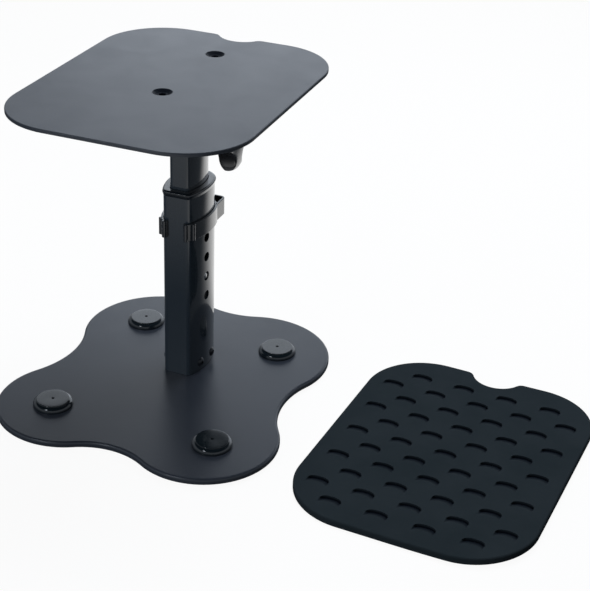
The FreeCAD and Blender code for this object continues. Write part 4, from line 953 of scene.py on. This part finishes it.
def pad_lines(across):
    """Places along Y of the pad's cross lines at each place across, from the front edge to the rear one.

    Inside, the lines keep a fixed distance from the crescents' lips. Where the corners leave less
    room they close up, and a few even lines fill the rest up to the edges.
    """
    core = []
    for row in range(SCOOP_ROWS - 1, -1, -1):
        lip_y = row_place(row)[0]
        bend = row_bend(across, row)[1]
        next_bend = row_bend(across, max(row - 1, 0))[1]
        for behind in ROW_LINES:
            if row == 0 and behind > ROW_BAND:
                break
            blend = max(0.0, (behind - ROW_BAND) / (SCOOP_PITCH[1] + ROW_LINES[0] - ROW_BAND))
            core.append(lip_y - behind - bend * (1.0 - blend) - next_bend * blend)
    core = np.array(core[::-1])
    front = plain_edge(across, PAD_ROUND)
    rear = notched_edge(across, PAD_ROUND)
    shrink = np.minimum(1.0, front / LINES_NARROW)
    for sign, edge in ((-1, front), (1, np.minimum(rear, front))):
        room = np.minimum(1.0, (edge / shrink - LINES_KEEP - LINES_SPARE) / (LINES_REACH - LINES_KEEP))
        past = np.clip(sign * core - LINES_KEEP, 0.0, None)
        core = core - sign * past * (1.0 - room)
    core = core * shrink
    fill = np.linspace(0.0, 1.0, END_LINES + 1)[1:, None]
    ahead = core[0] + (-front - core[0]) * fill
    behind = core[-1] + (rear - core[-1]) * fill
    return np.concatenate([ahead[::-1], core, behind])


def pad():
    """Top as a grid over the bent lines, rim as a rounded profile carried round it, plain underside."""
    low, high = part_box("rubber_pad")
    thick = (high.z - low.z) / MM
    flat = PAD_HALF[0] - PAD_CORNER
    bow = flat + (PAD_CORNER - PAD_ROUND) * np.sin(np.linspace(0.0, math.pi / 2, BOW_LINES))
    across = np.concatenate([-bow[::-1], np.linspace(-flat, flat, FLAT_LINES)[1:-1], bow])
    along = pad_lines(across)
    across = np.broadcast_to(across, along.shape)
    top = np.stack([across, along, thick + curl(across, along) - scoop_depth(across, along)], -1)
    rows, columns = along.shape
    index = np.arange(rows * columns).reshape(rows, columns)
    loop = np.concatenate([index[0, :-1], index[:-1, -1], index[-1, :0:-1], index[:0:-1, 0]])
    quads = [grid_faces(rows, columns)]

    places = [top.reshape(-1, 3)]
    edge = places[0][loop, :2]
    along_edge = np.roll(edge, -1, 0) - np.roll(edge, 1, 0)
    along_edge /= np.linalg.norm(along_edge, axis=1, keepdims=True)
    out = np.stack([along_edge[:, 1], -along_edge[:, 0]], -1)
    lift = curl(edge[:, 0], edge[:, 1])
    profile = corner_round((0.0, thick - PAD_ROUND), PAD_ROUND, 90.0, 0.0, PAD_ROUND_STEPS)[1:]
    foot = (PAD_ROUND - PAD_FOOT_ROUND, PAD_FOOT_ROUND)
    profile += corner_round(foot, PAD_FOOT_ROUND, 0.0, -90.0, PAD_FOOT_STEPS)
    previous = loop
    total = rows * columns
    for offset, up in profile:
        places.append(np.column_stack([edge + out * offset, up + lift]))
        ring = total + np.arange(len(loop))
        quads.append(np.stack([previous, np.roll(previous, -1), np.roll(ring, -1), ring], -1))
        previous = ring
        total += len(loop)
    front_edge = previous[:columns]
    right_edge = previous[columns - 1:columns + rows - 1]
    rear_edge = previous[columns + rows - 2:2 * columns + rows - 2][::-1]
    left_edge = np.append(previous[2 * columns + rows - 3:], previous[0])
    quads.append(np.stack([front_edge[1:-2], rear_edge[1:-2], rear_edge[2:-1], front_edge[2:-1]], -1))
    left_fill = np.concatenate([front_edge[1:2], left_edge[::-1], rear_edge[1:2]])
    right_fill = np.concatenate([rear_edge[-2:-1], right_edge[::-1], front_edge[-2:-1]])

    places = np.concatenate(places)
    turn = math.radians(PAD_TURN)
    spin = np.array([[math.cos(turn), -math.sin(turn)], [math.sin(turn), math.cos(turn)]])
    places[:, :2] = places[:, :2] @ spin.T
    middle = (low + high) / 2
    places = places * MM + np.array([middle.x, middle.y, low.z])
    shell = Shell()
    shell.add(places, np.concatenate(quads), [left_fill, right_fill])
    sheet = shell.build("pad", pad_rubber, "pad", ["rubber_pad"])
    # Painted shade: the scoops' depth, raised to SCOOP_SHADE, darkens the pad's colour there
    hollow = np.zeros(len(places), np.float32)
    hollow[:rows * columns] = (scoop_depth(across, along) / SCOOP_DEPTH).ravel() ** SCOOP_SHADE
    sheet.data.attributes.new(HOLLOW, "FLOAT", "POINT").data.foreach_set("value", hollow)


for corner in ("front_left", "front_right", "rear_left", "rear_right"):
    foot_cap(corner)
plate_screws()
snap_button()
tubes()
bushing()
clip()
knob()
pad()


# Floor, light and camera

def mirrored_ray(tree, seen):
    """A socket that is 1 for a mirrored or refracted ray, from a light path node."""
    return combine(tree, "MAXIMUM", seen.outputs["Is Glossy Ray"], seen.outputs["Is Transmission Ray"])


def white_floor():
    """A wide pale floor: almost its own white to the camera, with a faint shadow of the object.

    It throws little light back. To reflections only it glows towards one place behind the stand and two
    ahead of it: patches of painted light that no lamp casts.
    """
    half = FLOOR_HALF
    corners = [(-half, -half, 0), (half, -half, 0), (half, half, 0), (-half, half, 0)]
    mesh = bpy.data.meshes.new("floor")
    mesh.from_pydata(corners, [], [(0, 1, 2, 3)])
    floor = bpy.data.objects.new("floor", mesh)
    bpy.context.scene.collection.objects.link(floor)
    material = bpy.data.materials.new("floor_white")
    material.use_nodes = True
    tree = material.node_tree
    tree.nodes.clear()
    seen = add(tree, "ShaderNodeLightPath")
    place = add(tree, "ShaderNodeTexCoord")
    bright = 0.0
    for spot, edge, full, strength in FLOOR_LIGHTS:
        away = add(tree, "ShaderNodeVectorMath", operation="DISTANCE")
        away.inputs[1].default_value = spot
        ramp = add(tree, "ShaderNodeMapRange", interpolation_type="SMOOTHSTEP")
        ramp.inputs["From Min"].default_value = edge
        ramp.inputs["From Max"].default_value = full
        ramp.inputs["To Max"].default_value = strength
        join(tree, place.outputs["Object"], away.inputs[0])
        join(tree, away.outputs["Value"], ramp.inputs["Value"])
        bright = combine(tree, "MAXIMUM", bright, ramp.outputs["Result"])
    dimmed = combine(tree, "MULTIPLY", mirrored_ray(tree, seen), bright)
    direct = combine(tree, "MULTIPLY", seen.outputs["Is Camera Ray"], FLOOR_GLOW)
    share = combine(tree, "MAXIMUM", direct, dimmed)
    tone = add(tree, "ShaderNodeMix", data_type="RGBA")
    tone.inputs["A"].default_value = (*FLOOR_BOUNCE, 1.0)
    tone.inputs["B"].default_value = (*FLOOR_COLOUR, 1.0)
    join(tree, seen.outputs["Is Camera Ray"], tone.inputs["Factor"])
    matte = add(tree, "ShaderNodeBsdfDiffuse")
    join(tree, tone.outputs["Result"], matte.inputs["Color"])
    glow = add(tree, "ShaderNodeEmission")
    glow.inputs["Strength"].default_value = 1.0
    mix = add(tree, "ShaderNodeMixShader")
    out = add(tree, "ShaderNodeOutputMaterial")
    join(tree, share, mix.inputs["Fac"])
    join(tree, matte.outputs[0], mix.inputs[1])
    join(tree, glow.outputs[0], mix.inputs[2])
    join(tree, mix.outputs[0], out.inputs["Surface"])
    mesh.materials.append(material)


def white_sky():
    """A white world to the camera, plain soft light to the rest.

    To reflections it is a white panel far behind the stand, which dims to the sides and ends at its top.
    """
    world = bpy.data.worlds.new("studio")
    bpy.context.scene.world = world
    world.use_nodes = True
    tree = world.node_tree
    sky = tree.nodes["Background"]
    seen = add(tree, "ShaderNodeLightPath")
    tint = add(tree, "ShaderNodeMix", data_type="RGBA")
    tint.inputs["A"].default_value = (*SKY_COLOUR, 1.0)
    tint.inputs["B"].default_value = (1.0, 1.0, 1.0, 1.0)
    ray = add(tree, "ShaderNodeTexCoord")
    aim = add(tree, "ShaderNodeVectorMath", operation="DOT_PRODUCT")
    aim.inputs[1].default_value = PANEL_AIM
    panel = add(tree, "ShaderNodeMapRange", interpolation_type="SMOOTHSTEP")
    panel.inputs["From Min"].default_value = math.cos(math.radians(PANEL_ANGLES[1]))
    panel.inputs["From Max"].default_value = math.cos(math.radians(PANEL_ANGLES[0]))
    panel.inputs["To Min"].default_value = PANEL_EDGE
    parts = add(tree, "ShaderNodeSeparateXYZ")
    top = add(tree, "ShaderNodeMapRange")
    top.inputs["From Min"].default_value = math.sin(math.radians(PANEL_TOP[0]))
    top.inputs["From Max"].default_value = math.sin(math.radians(PANEL_TOP[1]))
    top.inputs["To Min"].default_value = 1.0
    top.inputs["To Max"].default_value = PANEL_ABOVE
    shown = add(tree, "ShaderNodeMix", data_type="FLOAT")
    shown.inputs["A"].default_value = SKY_LIGHT
    join(tree, ray.outputs["Generated"], aim.inputs[0])
    join(tree, aim.outputs["Value"], panel.inputs["Value"])
    join(tree, ray.outputs["Generated"], parts.inputs[0])
    join(tree, parts.outputs["Z"], top.inputs["Value"])
    cut = combine(tree, "MULTIPLY", panel.outputs["Result"], top.outputs["Result"])
    join(tree, mirrored_ray(tree, seen), shown.inputs["Factor"])
    join(tree, cut, shown.inputs["B"])
    level = combine(tree, "MAXIMUM", seen.outputs["Is Camera Ray"], shown.outputs["Result"])
    join(tree, level, sky.inputs["Strength"])
    join(tree, seen.outputs["Is Camera Ray"], tint.inputs["Factor"])
    join(tree, tint.outputs["Result"], sky.inputs["Color"])


def softbox(name, place, size, watts, mirrored):
    """A soft square lamp aimed at the stand, which shows in reflections or not."""
    lamp = bpy.data.lights.new(name, "AREA")
    lamp.shape = "SQUARE"
    lamp.size = size
    lamp.energy = watts
    lamp.color = SKY_COLOUR
    holder = bpy.data.objects.new(name, lamp)
    bpy.context.scene.collection.objects.link(holder)
    holder.location = place
    aim = Vector(VIEW_TARGET) - holder.location
    holder.rotation_mode = "QUATERNION"
    holder.rotation_quaternion = aim.to_track_quat("-Z", "Y")
    holder.visible_glossy = mirrored


def photo_camera():
    """The photograph's camera: on a sphere about the target, rolled about its own axis."""
    azimuth = math.radians(VIEW_AZIMUTH)
    elevation = math.radians(VIEW_ELEVATION)
    back = Vector((math.sin(azimuth) * math.cos(elevation), -math.cos(azimuth) * math.cos(elevation),
                   math.sin(elevation)))
    right = Vector((math.cos(azimuth), math.sin(azimuth), 0.0))
    up = back.cross(right)
    roll = math.radians(VIEW_ROLL)
    across = right * math.cos(roll) + up * math.sin(roll)
    upward = up * math.cos(roll) - right * math.sin(roll)
    lens = bpy.data.cameras.new("photo_camera")
    lens.sensor_width = SENSOR
    lens.lens = FOCAL_PIXELS * SENSOR / max(PHOTO_SIZE)
    camera = bpy.data.objects.new("photo_camera", lens)
    bpy.context.scene.collection.objects.link(camera)
    spot = Vector(VIEW_TARGET) + back * VIEW_DISTANCE
    camera.matrix_world = Matrix((
        (across.x, upward.x, back.x, spot.x),
        (across.y, upward.y, back.y, spot.y),
        (across.z, upward.z, back.z, spot.z),
        (0.0, 0.0, 0.0, 1.0)))
    bpy.context.scene.camera = camera


white_floor()
white_sky()
for lamp_row in LAMPS:
    softbox(*lamp_row)
photo_camera()
bpy.context.scene.view_settings.view_transform = "Standard"
